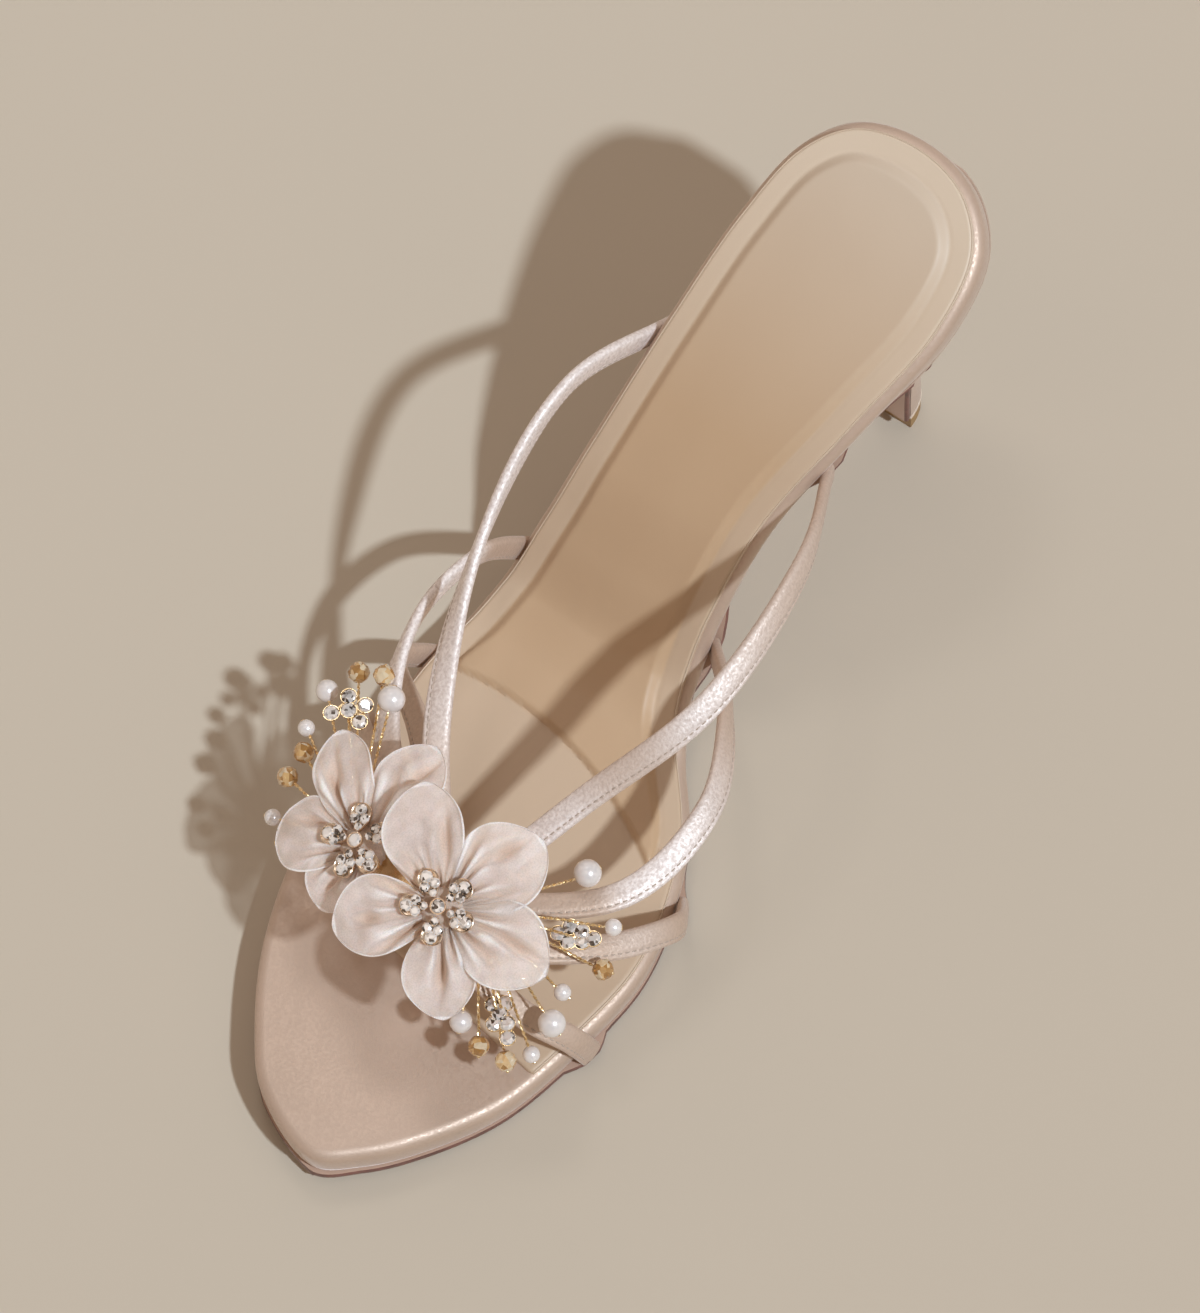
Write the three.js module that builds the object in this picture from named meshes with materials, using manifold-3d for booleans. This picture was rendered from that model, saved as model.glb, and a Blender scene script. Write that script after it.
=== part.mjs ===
import * as THREE from "three";
import { mergeVertices } from "three/addons/utils/BufferGeometryUtils.js";
import Module from "manifold-3d";

const wasm = await Module();
wasm.setup();

// Driving sizes in millimetres. x runs from heel to toe, y to the inner side of the foot, z up.
// The shoe is for the right foot.
const LENGTH = 222; // footbed from the back of the seat to the toe tip, seen from above
const BALL_WIDTH = 76; // footbed across the ball
const HEEL_RISE = 78; // how far the seat stands above the ball
const OUTSOLE = 2; // outsole under the ball
const SHANK_SOLE = 1.3; // outsole under the arch and down the heel's breast
const BOARD = 8; // footbed at the ball
const SEAT_BOARD = 9.4; // footbed at the seat
const GAP = 0.3; // clearance between pieces that touch
const EDGE_ROUND = 2.2; // rounding of the footbed's top edge
const UNDER_ROUND = 0.6; // rounding of the footbed's lower edge
const SOCK = 1.2; // lining on the footbed
const SOCK_INSET = 1.6; // the lining stops short of the footbed's edge
const SOCK_BEVEL = 0.4;
const CUSHION = 1.6; // the padded middle stands this far above the lining
const CUSHION_BORDER = 4.6; // flat border around the padded middle
const CUSHION_SLOPE = 3.6; // width of the padded middle's sloping edge
const STRAP_WIDTH = 6.6;
const STRAP_THICKNESS = 1.8;
const STRAP_CORNER = 0.9; // rounding of the strap's edges, across its width
const STRAP_EDGE = 0.7; // flat of the strap's edges, across its thickness
const STRAP_TUCK = 0.9; // a strap ends this far above the footbed's underside
const STRAP_DIP = 0.72; // the straps end this far below the patch's underside
const VAMP_RISE = 26; // where the straps meet, above the footbed
const PATCH_LENGTH = 32.6; // patch across the vamp that joins the straps
const PATCH_WIDTH = 12;
const PATCH_THICKNESS = 2.4;
const LIFT_HEIGHT = 6; // top piece under the heel
const LIP = 0.8; // thickness of the heel's front edge under the seat
const SEAT_INSET = 1; // the heel's seat stops short of the footbed's edge
const SOLE_BEVEL = 0.5; // bevel of the outsole's lower edge
const HUB_THICKNESS = 0.9; // plate that carries the wires of the ornament
const HUB_LENGTH = 32;
const HUB_WIDTH = 8.4;
const WIRE = 0.8;
const WIRE_STEPS = 3;
const PETAL_THICKNESS = 2.6;
const KNOT_RADIUS = 4.2; // gathered middle of a flower
const KNOT_TOP = 3.4; // the knot's top above the petals' roots
const PEARL_LARGE = 5.6;
const PEARL_MEDIUM = 4.6;
const PEARL_SMALL = 3.5;
const CRYSTAL_BEAD = 4.6;
const STONE = 2.9; // round stone in a cluster
const SPRAY_SPAN = 50; // reach of the ornament that its pieces are placed by
const TREAD_STATION = 0.69; // middle of the ball's flat, share of the length

// Lining and padded middle: where they end at the front, shares of the length, and how that end
// moves with a place across the footbed, a share of the ball's width
const SOCK_FRONT = 0.8;
const SOCK_FRONT_SKEW = 0.05;
const CUSHION_FRONT = 0.54;
const CUSHION_FRONT_SIDE = -0.26;
const CUSHION_FRONT_BOW = 0.19;

// Height of the footbed above its ball: share of the length, share of the heel's rise
const PROFILE = [
  [0, 1],
  [0.113, 0.844],
  [0.225, 0.664],
  [0.338, 0.411],
  [0.396, 0.214],
  [0.45, 0.05],
  [0.505, 0],
  [0.586, 0],
  [0.833, 0],
  [1, 0.033],
];

// Edge of the footbed: share of the length, outer and inner edge as shares of the ball's width
const OUTLINE = [
  [0.014, -0.191, 0.17],
  [0.054, -0.295, 0.284],
  [0.126, -0.347, 0.308],
  [0.225, -0.376, 0.236],
  [0.338, -0.416, 0.137],
  [0.45, -0.487, 0.134],
  [0.563, -0.529, 0.371],
  [0.676, -0.503, 0.479],
  [0.766, -0.487, 0.463],
  [0.856, -0.4, 0.407],
  [0.928, -0.268, 0.293],
  [0.973, -0.145, 0.186],
];
const SEAT_BACK_SIDE = -0.01;
const TOE_TIP_SIDE = 0.074;

// Heel below its seat: share of the seat's height and x share of the length at the back, the same
// two at the breast, and half its width as a share of the ball's width
const HEEL_LEVELS = [
  [0.941, -0.003, 1.004, 0.133, 0.29],
  [0.878, 0.012, 0.982, 0.112, 0.237],
  [0.789, 0.025, 0.927, 0.099, 0.174],
  [0.694, 0.037, 0.836, 0.094, 0.129],
  [0.581, 0.046, 0.712, 0.0914, 0.1],
  [0.448, 0.052, 0.563, 0.09, 0.082],
  [0.316, 0.0554, 0.406, 0.0892, 0.07],
  [0.189, 0.0568, 0.248, 0.0892, 0.063],
];
const HEEL_FRONT = 0.176; // share of the length at which the heel's seat ends
const SEAT_BACK = 0.004; // and at which it begins
const BREAST_START = 0.196; // where the outsole leaves the footbed for the heel's breast
const HEEL_SIDE = 0.055; // the heel's tip stands this share of the width towards the inside
const LIFT_TAPER = 0.94; // the top piece narrows to this share at the floor
const LIFT_BACK = 0.0563;
const LIFT_FRONT = 0.0896;
const LIFT_HALF = 0.061;

// Straps: station of the foot end, side, then three waypoints on the way to the vamp. A waypoint
// is a share of the length, of the ball's width and, above the footbed, of the vamp's rise.
const STRAPS = [
  [0.27, 1, [0.36, 0.336, 0.92], [0.509, 0.355, 1.86], [0.635, 0.191, 1.34]],
  [0.423, 1, [0.464, 0.3, 0.7], [0.557, 0.442, 0.97], [0.666, 0.395, 0.93]],
  [0.608, 1, [0.645, 0.501, 0.285], [0.709, 0.407, 0.62], [0.761, 0.228, 0.86]],
  [0.766, 1, [0.783, 0.46, 0.26], [0.799, 0.339, 0.62], [0.796, 0.187, 0.88]],
  [0.235, -1, [0.336, -0.462, 0.8], [0.483, -0.43, 1.66], [0.636, -0.264, 1.2]],
  [0.408, -1, [0.463, -0.492, 0.8], [0.562, -0.503, 1.01], [0.668, -0.366, 0.97]],
  [0.495, -1, [0.555, -0.55, 0.33], [0.623, -0.35, 0.72], [0.696, -0.142, 0.94]],
  [0.622, -1, [0.648, -0.52, 0.34], [0.684, -0.355, 0.7], [0.725, -0.146, 0.91]],
];
const STRAP_STEPS = [19, 16, 12, 11, 19, 16, 13, 12];
const VAMP_STATION = 0.766;
const VAMP_SIDE = 0.04;
const PATCH_SLOPE = 0.09; // the patch falls this much towards the outer side
const PATCH_SIDE = -0.09;

// Flowers: name, place from the vamp's middle as shares of the span, tilt forwards and outwards
// in degrees, then petals as direction in degrees, length and width as shares of the span
const FLOWERS = [
  {
    name: "flower_large",
    place: [0.07, 0.056, 0.174],
    tilt: [18, -3],
    petals: [
      [224, 0.51, 0.36],
      [157, 0.49, 0.37],
      [93, 0.51, 0.37],
      [36, 0.45, 0.32],
      [315, 0.45, 0.32],
    ],
  },
  {
    name: "flower_small",
    place: [0.023, -0.371, 0.098],
    tilt: [12, 13],
    petals: [
      [229, 0.49, 0.27],
      [175, 0.5, 0.32],
      [297, 0.38, 0.32],
      [350, 0.3, 0.28],
    ],
  },
];
const FLORET_PETALS = 5;
const TEARDROP = [0.062, 0.048, 0.026]; // half sizes of a teardrop setting, shares of the span
const FLORET_REACH = 0.098; // from the floret's middle to a teardrop's
const FLORET_TURN = [22, 12]; // turn of the first teardrop of either floret, degrees

// Pearls, crystal beads and stone clusters of the ornament: kind and place from the vamp's middle
// as shares of the span
const SPRAY_BOW = { rear: 0.02, inner: 0.14, front: 0.16 }; // arch of the wires, share of their reach
const SPRAYS = {
  rear: [
    ["pearl_medium", [-0.457, -0.93, 0.02]],
    ["pearl_large", [-0.536, -0.655, 0.15]],
    ["pearl_small", [-0.282, -0.903, 0.014]],
    ["pearl_small", [0.072, -0.817, -0.096]],
    ["pearl_small", [0.138, -0.712, -0.086]],
    ["bead", [-0.6, -0.88, 0.0]],
    ["bead", [-0.62, -0.76, 0.09]],
    ["bead", [-0.197, -0.855, -0.006]],
    ["bead", [-0.088, -0.858, -0.046]],
    ["cluster", [-0.409, -0.779, 0.114]],
  ],
  inner: [
    ["pearl_large", [-0.404, 0.403, 0.073]],
    ["pearl_small", [-0.301, 0.597, -0.012]],
    ["bead", [-0.169, 0.635, -0.136]],
    ["cluster", [-0.202, 0.517, -0.04]],
  ],
  front: [
    ["pearl_medium", [0.333, 0.308, -0.126]],
    ["pearl_small", [0.009, 0.569, -0.106]],
    ["pearl_large", [0.141, 0.614, -0.096]],
    ["pearl_small", [0.263, 0.595, -0.206]],
    ["bead", [0.357, 0.407, -0.196]],
    ["bead", [0.341, 0.526, -0.216]],
    ["cluster", [0.241, 0.456, -0.086]],
  ],
};

const PEARL_SIZE = { pearl_large: PEARL_LARGE, pearl_medium: PEARL_MEDIUM, pearl_small: PEARL_SMALL };

const SATIN = new THREE.MeshStandardMaterial({ color: 0xe3cfc5, roughness: 0.35, metalness: 0 });
const LINING = new THREE.MeshStandardMaterial({ color: 0xcfae8c, roughness: 0.55, metalness: 0 });
const SOLE = new THREE.MeshStandardMaterial({ color: 0xc79f86, roughness: 0.5, metalness: 0 });
const RUBBER = new THREE.MeshStandardMaterial({ color: 0xa37843, roughness: 0.6, metalness: 0 });
const ORGANZA = new THREE.MeshStandardMaterial({ color: 0xecdad0, roughness: 0.7, metalness: 0 });
const PEARL = new THREE.MeshStandardMaterial({ color: 0xf3eff2, roughness: 0.2, metalness: 0 });
const CRYSTAL = new THREE.MeshStandardMaterial({ color: 0xd9a65e, roughness: 0.1, metalness: 0 });
const GOLD = new THREE.MeshStandardMaterial({ color: 0xd2a65a, roughness: 0.25, metalness: 1 });

// A smooth curve through a table that never overshoots its rows
function smoothTable(rows, column = 1) {
  const at = rows.map((row) => row[0]);
  const value = rows.map((row) => row[column]);
  const slope = at.slice(1).map((x, i) => (value[i + 1] - value[i]) / (x - at[i]));
  const tangent = at.map((x, i) => {
    if (i === 0 || i === at.length - 1) return slope[Math.min(i, slope.length - 1)];
    const product = slope[i - 1] * slope[i];
    return product <= 0 ? 0 : (2 * product) / (slope[i - 1] + slope[i]);
  });
  return (x) => {
    const last = at.length - 2;
    const next = at.findIndex((edge) => edge > x);
    const i = next < 0 ? last : Math.max(next - 1, 0);
    const step = at[i + 1] - at[i];
    const t = (x - at[i]) / step;
    if (t < 0 || t > 1) {
      const end = t < 0 ? 0 : at.length - 1;
      return value[end] + tangent[end] * (x - at[end]);
    }
    const blend = t * t * (3 - 2 * t);
    const start = tangent[i] * step * t * (1 - t) * (1 - t);
    const end = tangent[i + 1] * step * t * t * (1 - t);
    return value[i] * (1 - blend) + value[i + 1] * blend + start - end;
  };
}

const profile = smoothTable(PROFILE);

function topHeight(x) {
  return OUTSOLE + GAP + BOARD + HEEL_RISE * profile(x / LENGTH);
}

function boardThickness(x) {
  return BOARD + (SEAT_BOARD - BOARD) * THREE.MathUtils.clamp(profile(x / LENGTH), 0, 1);
}

// A point above (or below) the footbed's top, measured square to it
function onFootbed(x, y, rise) {
  const step = LENGTH / 400;
  const slope = (topHeight(x + step) - topHeight(x - step)) / (2 * step);
  const length = Math.hypot(1, slope);
  return new THREE.Vector3(x - (rise * slope) / length, y, topHeight(x) + rise / length);
}

// The footbed's edge as a closed loop from the back of the seat along the outer side to the toe
// tip and back along the inner side. A point and its mirror index lie across from each other.
const EDGE_STEPS = 3;
const EDGE_ARC_STEPS = 3;

function outlineLoop() {
  const outer = OUTLINE.map((row) => new THREE.Vector3(row[0] * LENGTH, row[1] * BALL_WIDTH, 0));
  const inner = OUTLINE.map((row) => new THREE.Vector3(row[0] * LENGTH, row[2] * BALL_WIDTH, 0));
  const back = new THREE.Vector3(0, SEAT_BACK_SIDE * BALL_WIDTH, 0);
  const tip = new THREE.Vector3(LENGTH, TOE_TIP_SIDE * BALL_WIDTH, 0);
  const knots = [back, ...outer, tip, ...inner.reverse()];
  const curve = new THREE.CatmullRomCurve3(knots, true, "centripetal");
  return curve.getPoints(knots.length * EDGE_STEPS).slice(0, -1);
}

function insetLoop(loop, inset) {
  return loop.map((point, i) => {
    const before = loop[(i + loop.length - 1) % loop.length];
    const after = loop[(i + 1) % loop.length];
    const along = after.clone().sub(before).normalize();
    return new THREE.Vector3(point.x - along.y * inset, point.y + along.x * inset, 0);
  });
}

const EDGE = outlineLoop();
const TIP_INDEX = EDGE.length / 2;

function edgeSide(x, side) {
  const half = side < 0 ? EDGE.slice(0, TIP_INDEX + 1) : [...EDGE.slice(TIP_INDEX), EDGE[0]].reverse();
  const next = THREE.MathUtils.clamp(half.findIndex((point) => point.x > x), 1, TIP_INDEX);
  const t = (x - half[next - 1].x) / (half[next].x - half[next - 1].x);
  return THREE.MathUtils.lerp(half[next - 1].y, half[next].y, THREE.MathUtils.clamp(t, 0, 1));
}

function volumeOf(positions, index) {
  let volume = 0;
  const corner = [0, 1, 2].map(() => new THREE.Vector3());
  for (let i = 0; i < index.length; i += 3) {
    corner.forEach((c, k) => c.fromArray(positions, 3 * index[i + k]));
    volume += corner[0].dot(corner[1].clone().cross(corner[2])) / 6;
  }
  return volume;
}

// A closed geometry from points and triangles, with its faces turned outwards
function closedGeometry(points, triangles) {
  const positions = points.flatMap((point) => point.toArray());
  const index = triangles.flat();
  if (volumeOf(positions, index) < 0) index.reverse();
  const geometry = new THREE.BufferGeometry();
  geometry.setAttribute("position", new THREE.Float32BufferAttribute(positions, 3));
  geometry.setIndex(index);
  return geometry;
}

// Joins rings of equal length; each ring is closed, and the two ends are capped by strips
// between every point and the one across from it
function ringLoft(rings) {
  const count = rings[0].length;
  const points = rings.flat();
  const triangles = [];
  for (let r = 0; r + 1 < rings.length; r += 1) {
    for (let i = 0; i < count; i += 1) {
      const a = r * count + i;
      const b = r * count + ((i + 1) % count);
      triangles.push([a, b, b + count], [a, b + count, a + count]);
    }
  }
  [0, rings.length - 1].forEach((r) => {
    for (let i = 0; i < Math.floor(count / 2); i += 1) {
      const a = r * count + i;
      const b = r * count + i + 1;
      const c = r * count + ((count - i - 1) % count);
      const d = r * count + ((count - i) % count);
      const quad = [];
      if (b !== c) quad.push([a, b, c]);
      if (a !== d) quad.push([a, c, d]);
      quad.forEach((t) => triangles.push(r === 0 ? t.reverse() : t));
    }
  });
  return closedGeometry(points, triangles);
}

// Joins sections that are closed loops along a path, with fan caps at both ends
function sweepLoft(sections) {
  const count = sections[0].length;
  const points = sections.flat();
  const triangles = [];
  for (let r = 0; r + 1 < sections.length; r += 1) {
    for (let i = 0; i < count; i += 1) {
      const a = r * count + i;
      const b = r * count + ((i + 1) % count);
      triangles.push([a, b, b + count], [a, b + count, a + count]);
    }
  }
  const last = (sections.length - 1) * count;
  for (let i = 1; i + 1 < count; i += 1) {
    triangles.push([0, i + 1, i], [last, last + i, last + i + 1]);
  }
  return closedGeometry(points, triangles);
}

function toManifold(geometry) {
  const bare = geometry.clone();
  bare.deleteAttribute("normal");
  bare.deleteAttribute("uv");
  const merged = mergeVertices(bare, 1e-5);
  const vertProperties = new Float32Array(merged.attributes.position.array);
  const triVerts = new Uint32Array(merged.index.array);
  return new wasm.Manifold(new wasm.Mesh({ numProp: 3, vertProperties, triVerts }));
}

function fromManifold(solid) {
  const mesh = solid.getMesh();
  const geometry = new THREE.BufferGeometry();
  geometry.setAttribute("position", new THREE.Float32BufferAttribute(mesh.vertProperties, 3));
  geometry.setIndex([...mesh.triVerts]);
  return geometry;
}

function join(geometries) {
  return fromManifold(geometries.map(toManifold).reduce((sum, solid) => sum.add(solid)));
}

function named(name, geometry, material) {
  const bare = geometry.clone();
  if (bare.attributes.normal) bare.deleteAttribute("normal");
  if (bare.attributes.uv) bare.deleteAttribute("uv");
  const merged = mergeVertices(bare, 1e-5);
  merged.computeVertexNormals();
  const mesh = new THREE.Mesh(merged, material);
  mesh.name = name;
  return mesh;
}

// Footbed: the board wrapped in satin, with a rounded top edge
function footbed() {
  const rings = [];
  rings.push(insetLoop(EDGE, UNDER_ROUND).map((p) => onFootbed(p.x, p.y, -boardThickness(p.x))));
  rings.push(EDGE.map((p) => onFootbed(p.x, p.y, -boardThickness(p.x) + UNDER_ROUND)));
  for (let k = 0; k <= EDGE_ARC_STEPS; k += 1) {
    const angle = (k / EDGE_ARC_STEPS) * (Math.PI / 2);
    const inset = EDGE_ROUND * (1 - Math.cos(angle));
    const rise = -EDGE_ROUND * (1 - Math.sin(angle));
    rings.push(insetLoop(EDGE, inset).map((p) => onFootbed(p.x, p.y, rise)));
  }
  return ringLoft(rings);
}

// Lining with its padded middle, which ends in an arc behind the ball
function linedLayer(inset, frontAt, rings) {
  return ringLoft(
    rings.map(([more, rise]) =>
      insetLoop(EDGE, inset + more).map((p) => {
        const side = p.y / BALL_WIDTH;
        const x = Math.min(p.x, frontAt(side) - more);
        return onFootbed(x, p.y, rise);
      }),
    ),
  );
}

function sock() {
  const soleFront = (side) => (SOCK_FRONT + SOCK_FRONT_SKEW * side) * LENGTH;
  const padFront = (side) =>
    CUSHION_FRONT * LENGTH + CUSHION_FRONT_BOW * (side - CUSHION_FRONT_SIDE) ** 2 * LENGTH;
  const lining = linedLayer(SOCK_INSET, soleFront, [
    [0, GAP],
    [SOCK_BEVEL, GAP + SOCK],
  ]);
  const pad = linedLayer(SOCK_INSET + CUSHION_BORDER, padFront, [
    [0, GAP + SOCK / 2],
    [0, GAP + SOCK],
    [CUSHION_SLOPE * 0.4, GAP + SOCK + CUSHION * 0.7],
    [CUSHION_SLOPE, GAP + SOCK + CUSHION],
  ]);
  return join([lining, pad]);
}

// Heel: rows of its table, made smooth, from the seat down to the top piece
const heelSeatDepth = (x) => boardThickness(x) + GAP;
const seatBack = onFootbed(SEAT_BACK * LENGTH, 0, -heelSeatDepth(0));
const seatFront = onFootbed(HEEL_FRONT * LENGTH, 0, -heelSeatDepth(HEEL_FRONT * LENGTH));
const lipFront = onFootbed(HEEL_FRONT * LENGTH, 0, -heelSeatDepth(HEEL_FRONT * LENGTH) - LIP);
const HEEL_STEPS = 18;

function heelCurves() {
  const back = [seatBack.clone()];
  const front = [lipFront.clone()];
  const half = [new THREE.Vector3(edgeSide(HEEL_FRONT * LENGTH, 1) - SEAT_INSET, 0, 0)];
  HEEL_LEVELS.forEach(([backZ, backX, frontZ, frontX, width]) => {
    back.push(new THREE.Vector3(backX * LENGTH, 0, backZ * seatBack.z));
    front.push(new THREE.Vector3(frontX * LENGTH, 0, frontZ * seatFront.z));
    half.push(new THREE.Vector3(width * BALL_WIDTH, 0, 0));
  });
  back.push(new THREE.Vector3(LIFT_BACK * LENGTH, 0, LIFT_HEIGHT + GAP));
  front.push(new THREE.Vector3(LIFT_FRONT * LENGTH, 0, LIFT_HEIGHT + GAP));
  half.push(new THREE.Vector3(LIFT_HALF * BALL_WIDTH, 0, 0));
  const sample = (rows) => new THREE.CatmullRomCurve3(rows, false, "catmullrom", 0.5).getPoints(HEEL_STEPS);
  return { back: sample(back), front: sample(front), half: sample(half).map((p) => p.x) };
}

const HEEL = heelCurves();
const HEEL_ARC = 16;
const HEEL_SQUARENESS = 0.8; // under 1, the heel's sides are fuller than an ellipse
const SEAT_BLEND = 0.3; // share of the heel's height over which it takes the seat's outline

// A D-shaped ring: straight across the breast, round at the back
function heelRing(front, back, half, side) {
  const ring = [];
  for (let i = 0; i <= HEEL_ARC; i += 1) {
    const angle = (i / HEEL_ARC) * Math.PI;
    const reach = Math.sin(angle);
    const across = -half * Math.sign(Math.cos(angle)) * Math.abs(Math.cos(angle)) ** HEEL_SQUARENESS;
    const z = THREE.MathUtils.lerp(front.z, back.z, reach);
    ring.push(new THREE.Vector3(THREE.MathUtils.lerp(front.x, back.x, reach), across + side, z));
  }
  return ring;
}

function seatRing(extra) {
  const ring = [];
  const start = HEEL_FRONT * LENGTH;
  const end = SEAT_BACK * LENGTH;
  for (let i = 0; i <= HEEL_ARC; i += 1) {
    const angle = (i / HEEL_ARC) * Math.PI;
    const x = THREE.MathUtils.lerp(start, end, Math.sin(angle));
    const side = Math.sign(-Math.cos(angle));
    const middle = i === HEEL_ARC / 2;
    const y = middle ? SEAT_BACK_SIDE * BALL_WIDTH : edgeSide(x, side) - side * SEAT_INSET;
    ring.push(onFootbed(x, y, -heelSeatDepth(x) - extra));
  }
  return ring;
}

function heelSide(share) {
  const seat = (edgeSide(HEEL_FRONT * LENGTH, 1) + edgeSide(HEEL_FRONT * LENGTH, -1)) / 2;
  return THREE.MathUtils.lerp(HEEL_SIDE * BALL_WIDTH, seat, share ** 3);
}

function levelRing(k) {
  const share = 1 - k / HEEL_STEPS;
  const plain = heelRing(HEEL.front[k], HEEL.back[k], HEEL.half[k], heelSide(share));
  const blend = THREE.MathUtils.clamp(1 - k / (HEEL_STEPS * SEAT_BLEND), 0, 1) ** 2;
  const seat = seatRing(LIP);
  return plain.map((point, i) => {
    const y = THREE.MathUtils.lerp(point.y, seat[i].y, blend);
    return new THREE.Vector3(point.x, y, point.z);
  });
}

function heel() {
  const rings = [seatRing(0)];
  for (let k = 0; k <= HEEL_STEPS; k += 1) {
    rings.push(k === 0 ? seatRing(LIP) : levelRing(k));
  }
  return ringLoft(rings);
}

function topLift() {
  const top = levelRing(HEEL_STEPS);
  const middle = top.reduce((sum, p) => sum.add(p), new THREE.Vector3()).divideScalar(top.length);
  const at = (z, scale) =>
    top.map((p) => new THREE.Vector3(
      middle.x + (p.x - middle.x) * scale,
      middle.y + (p.y - middle.y) * scale,
      z,
    ));
  return ringLoft([at(0, LIFT_TAPER), at(LIFT_HEIGHT, 1)]);
}

// Outsole: from the toe tip to the heel and on down its breast
function outsole() {
  const sections = [];
  const firstFlat = BREAST_START * LENGTH;
  const section = (upper, lower, outer, inner, inset) => [
    new THREE.Vector3(upper.x, outer, upper.z),
    new THREE.Vector3(upper.x, inner, upper.z),
    new THREE.Vector3(lower.x, inner - inset, lower.z),
    new THREE.Vector3(lower.x, outer + inset, lower.z),
  ];
  for (let i = TIP_INDEX; i > 0; i -= 1) {
    const outer = EDGE[i];
    const inner = EDGE[(EDGE.length - i) % EDGE.length];
    if (outer.x < firstFlat) break;
    const x = (outer.x + inner.x) / 2;
    const rise = -boardThickness(x) - GAP;
    const thin = THREE.MathUtils.clamp(profile(x / LENGTH) * 4, 0, 1);
    const depth = THREE.MathUtils.lerp(OUTSOLE, SHANK_SOLE, x < LENGTH / 2 ? thin : 0);
    const upper = onFootbed(x, 0, rise);
    const lower = onFootbed(x, 0, rise - depth);
    const width = inner.y - outer.y;
    sections.push(section(upper, lower, outer.y, inner.y, Math.min(SOLE_BEVEL, width / 4)));
  }
  for (let k = 0; k <= HEEL_STEPS; k += 1) {
    const before = k === 0 ? onFootbed(firstFlat, 0, -heelSeatDepth(firstFlat)) : HEEL.front[k - 1];
    const after = HEEL.front[Math.min(k + 1, HEEL_STEPS)];
    const along = after.clone().sub(before).normalize();
    const out = new THREE.Vector3(-along.z, 0, along.x);
    const ring = k === 0 ? seatRing(LIP) : levelRing(k);
    const upper = HEEL.front[k].clone().addScaledVector(out, GAP);
    const lower = upper.clone().addScaledVector(out, SHANK_SOLE);
    if (k === HEEL_STEPS) lower.z = upper.z;
    sections.push(section(upper, lower, ring[0].y, ring[HEEL_ARC].y, SOLE_BEVEL));
  }
  return sweepLoft(sections);
}

// One strap: a flat band with rounded edges, from the footbed's side up to the vamp
const HUB_TOP = PATCH_THICKNESS - STRAP_THICKNESS / 2 + GAP + HUB_THICKNESS;
const vampPoint = new THREE.Vector3(
  VAMP_STATION * LENGTH,
  VAMP_SIDE * BALL_WIDTH,
  topHeight(VAMP_STATION * LENGTH) + VAMP_RISE,
);

function strapSection(centre, along, outward) {
  const normal = outward.clone().addScaledVector(along, -outward.dot(along)).normalize();
  const across = along.clone().cross(normal).normalize();
  const wide = STRAP_WIDTH / 2;
  const thick = STRAP_THICKNESS / 2;
  const edge = STRAP_EDGE / 2;
  const shape = [
    [-wide + STRAP_CORNER, -thick],
    [wide - STRAP_CORNER, -thick],
    [wide, -edge],
    [wide, edge],
    [wide - STRAP_CORNER, thick],
    [-wide + STRAP_CORNER, thick],
    [-wide, edge],
    [-wide, -edge],
  ];
  return shape.map(([u, v]) => centre.clone().addScaledVector(across, u).addScaledVector(normal, v));
}

function strap([station, side, ...waypoints], steps) {
  const x = station * LENGTH;
  const probe = 0.02 * LENGTH;
  const run = edgeSide(x + probe, side) - edgeSide(x - probe, side);
  const outward = new THREE.Vector3(-run, 2 * probe * side, 0);
  outward.x *= side;
  outward.normalize();
  const stand = 2 * GAP + STRAP_THICKNESS / 2;
  const onSide = (rise) => onFootbed(x, edgeSide(x, side), rise).addScaledVector(outward, stand);
  const board = boardThickness(x);
  const knots = [onSide(STRAP_TUCK - board)];
  waypoints.forEach(([along, across, rise]) => {
    const z = topHeight(along * LENGTH) + rise * VAMP_RISE;
    knots.push(new THREE.Vector3(along * LENGTH, across * BALL_WIDTH, z));
  });
  knots.push(vampPoint.clone().setZ(vampPoint.z - STRAP_THICKNESS / 2 - STRAP_DIP));
  const curve = new THREE.CatmullRomCurve3(knots, false, "centripetal");
  const sections = [];
  for (let i = 0; i <= steps; i += 1) {
    const t = i / steps;
    const point = curve.getPointAt(t);
    const axisPoint = new THREE.Vector3(point.x, 0, topHeight(point.x) + VAMP_RISE * 0.3);
    const radial = point.clone().sub(axisPoint).normalize();
    const facing = outward.clone().lerp(radial, THREE.MathUtils.smoothstep(t, 0.05, 0.4));
    facing.lerp(new THREE.Vector3(0, 0, 1), THREE.MathUtils.smoothstep(t, 0.7, 0.95));
    sections.push(strapSection(point, curve.getTangentAt(t), facing));
  }
  return sweepLoft(sections);
}

function patchPlate(length, width, thickness) {
  const outline = new THREE.Shape();
  const straight = (length - width) / 2;
  outline.absarc(0, straight, width / 2, 0, Math.PI, false);
  outline.absarc(0, -straight, width / 2, Math.PI, 2 * Math.PI, false);
  const options = { depth: thickness, bevelEnabled: false, curveSegments: 5 };
  return new THREE.ExtrudeGeometry(outline, options);
}

// Height on the vamp's patch, which slopes down to the outer side, at a place across it
function patchHeight(y, above) {
  return vampPoint.z + (y - vampPoint.y) * PATCH_SLOPE + above;
}

// Puts a plate on the vamp with its underside at a height above the straps' middle
function onVamp(geometry, above) {
  const side = vampPoint.y + PATCH_SIDE * BALL_WIDTH;
  return geometry
    .rotateX(Math.atan(PATCH_SLOPE))
    .translate(vampPoint.x, side, patchHeight(side, above));
}

function upper() {
  const straps = STRAPS.map((row, i) => strap(row, STRAP_STEPS[i]));
  const patch = onVamp(patchPlate(PATCH_LENGTH, PATCH_WIDTH, PATCH_THICKNESS), -STRAP_THICKNESS / 2);
  return join([...straps, patch]);
}

// A petal puffed from doubled cloth, along +x, cupped in the middle and drooping at its tip
const PETAL_STEPS = 6;

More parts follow.
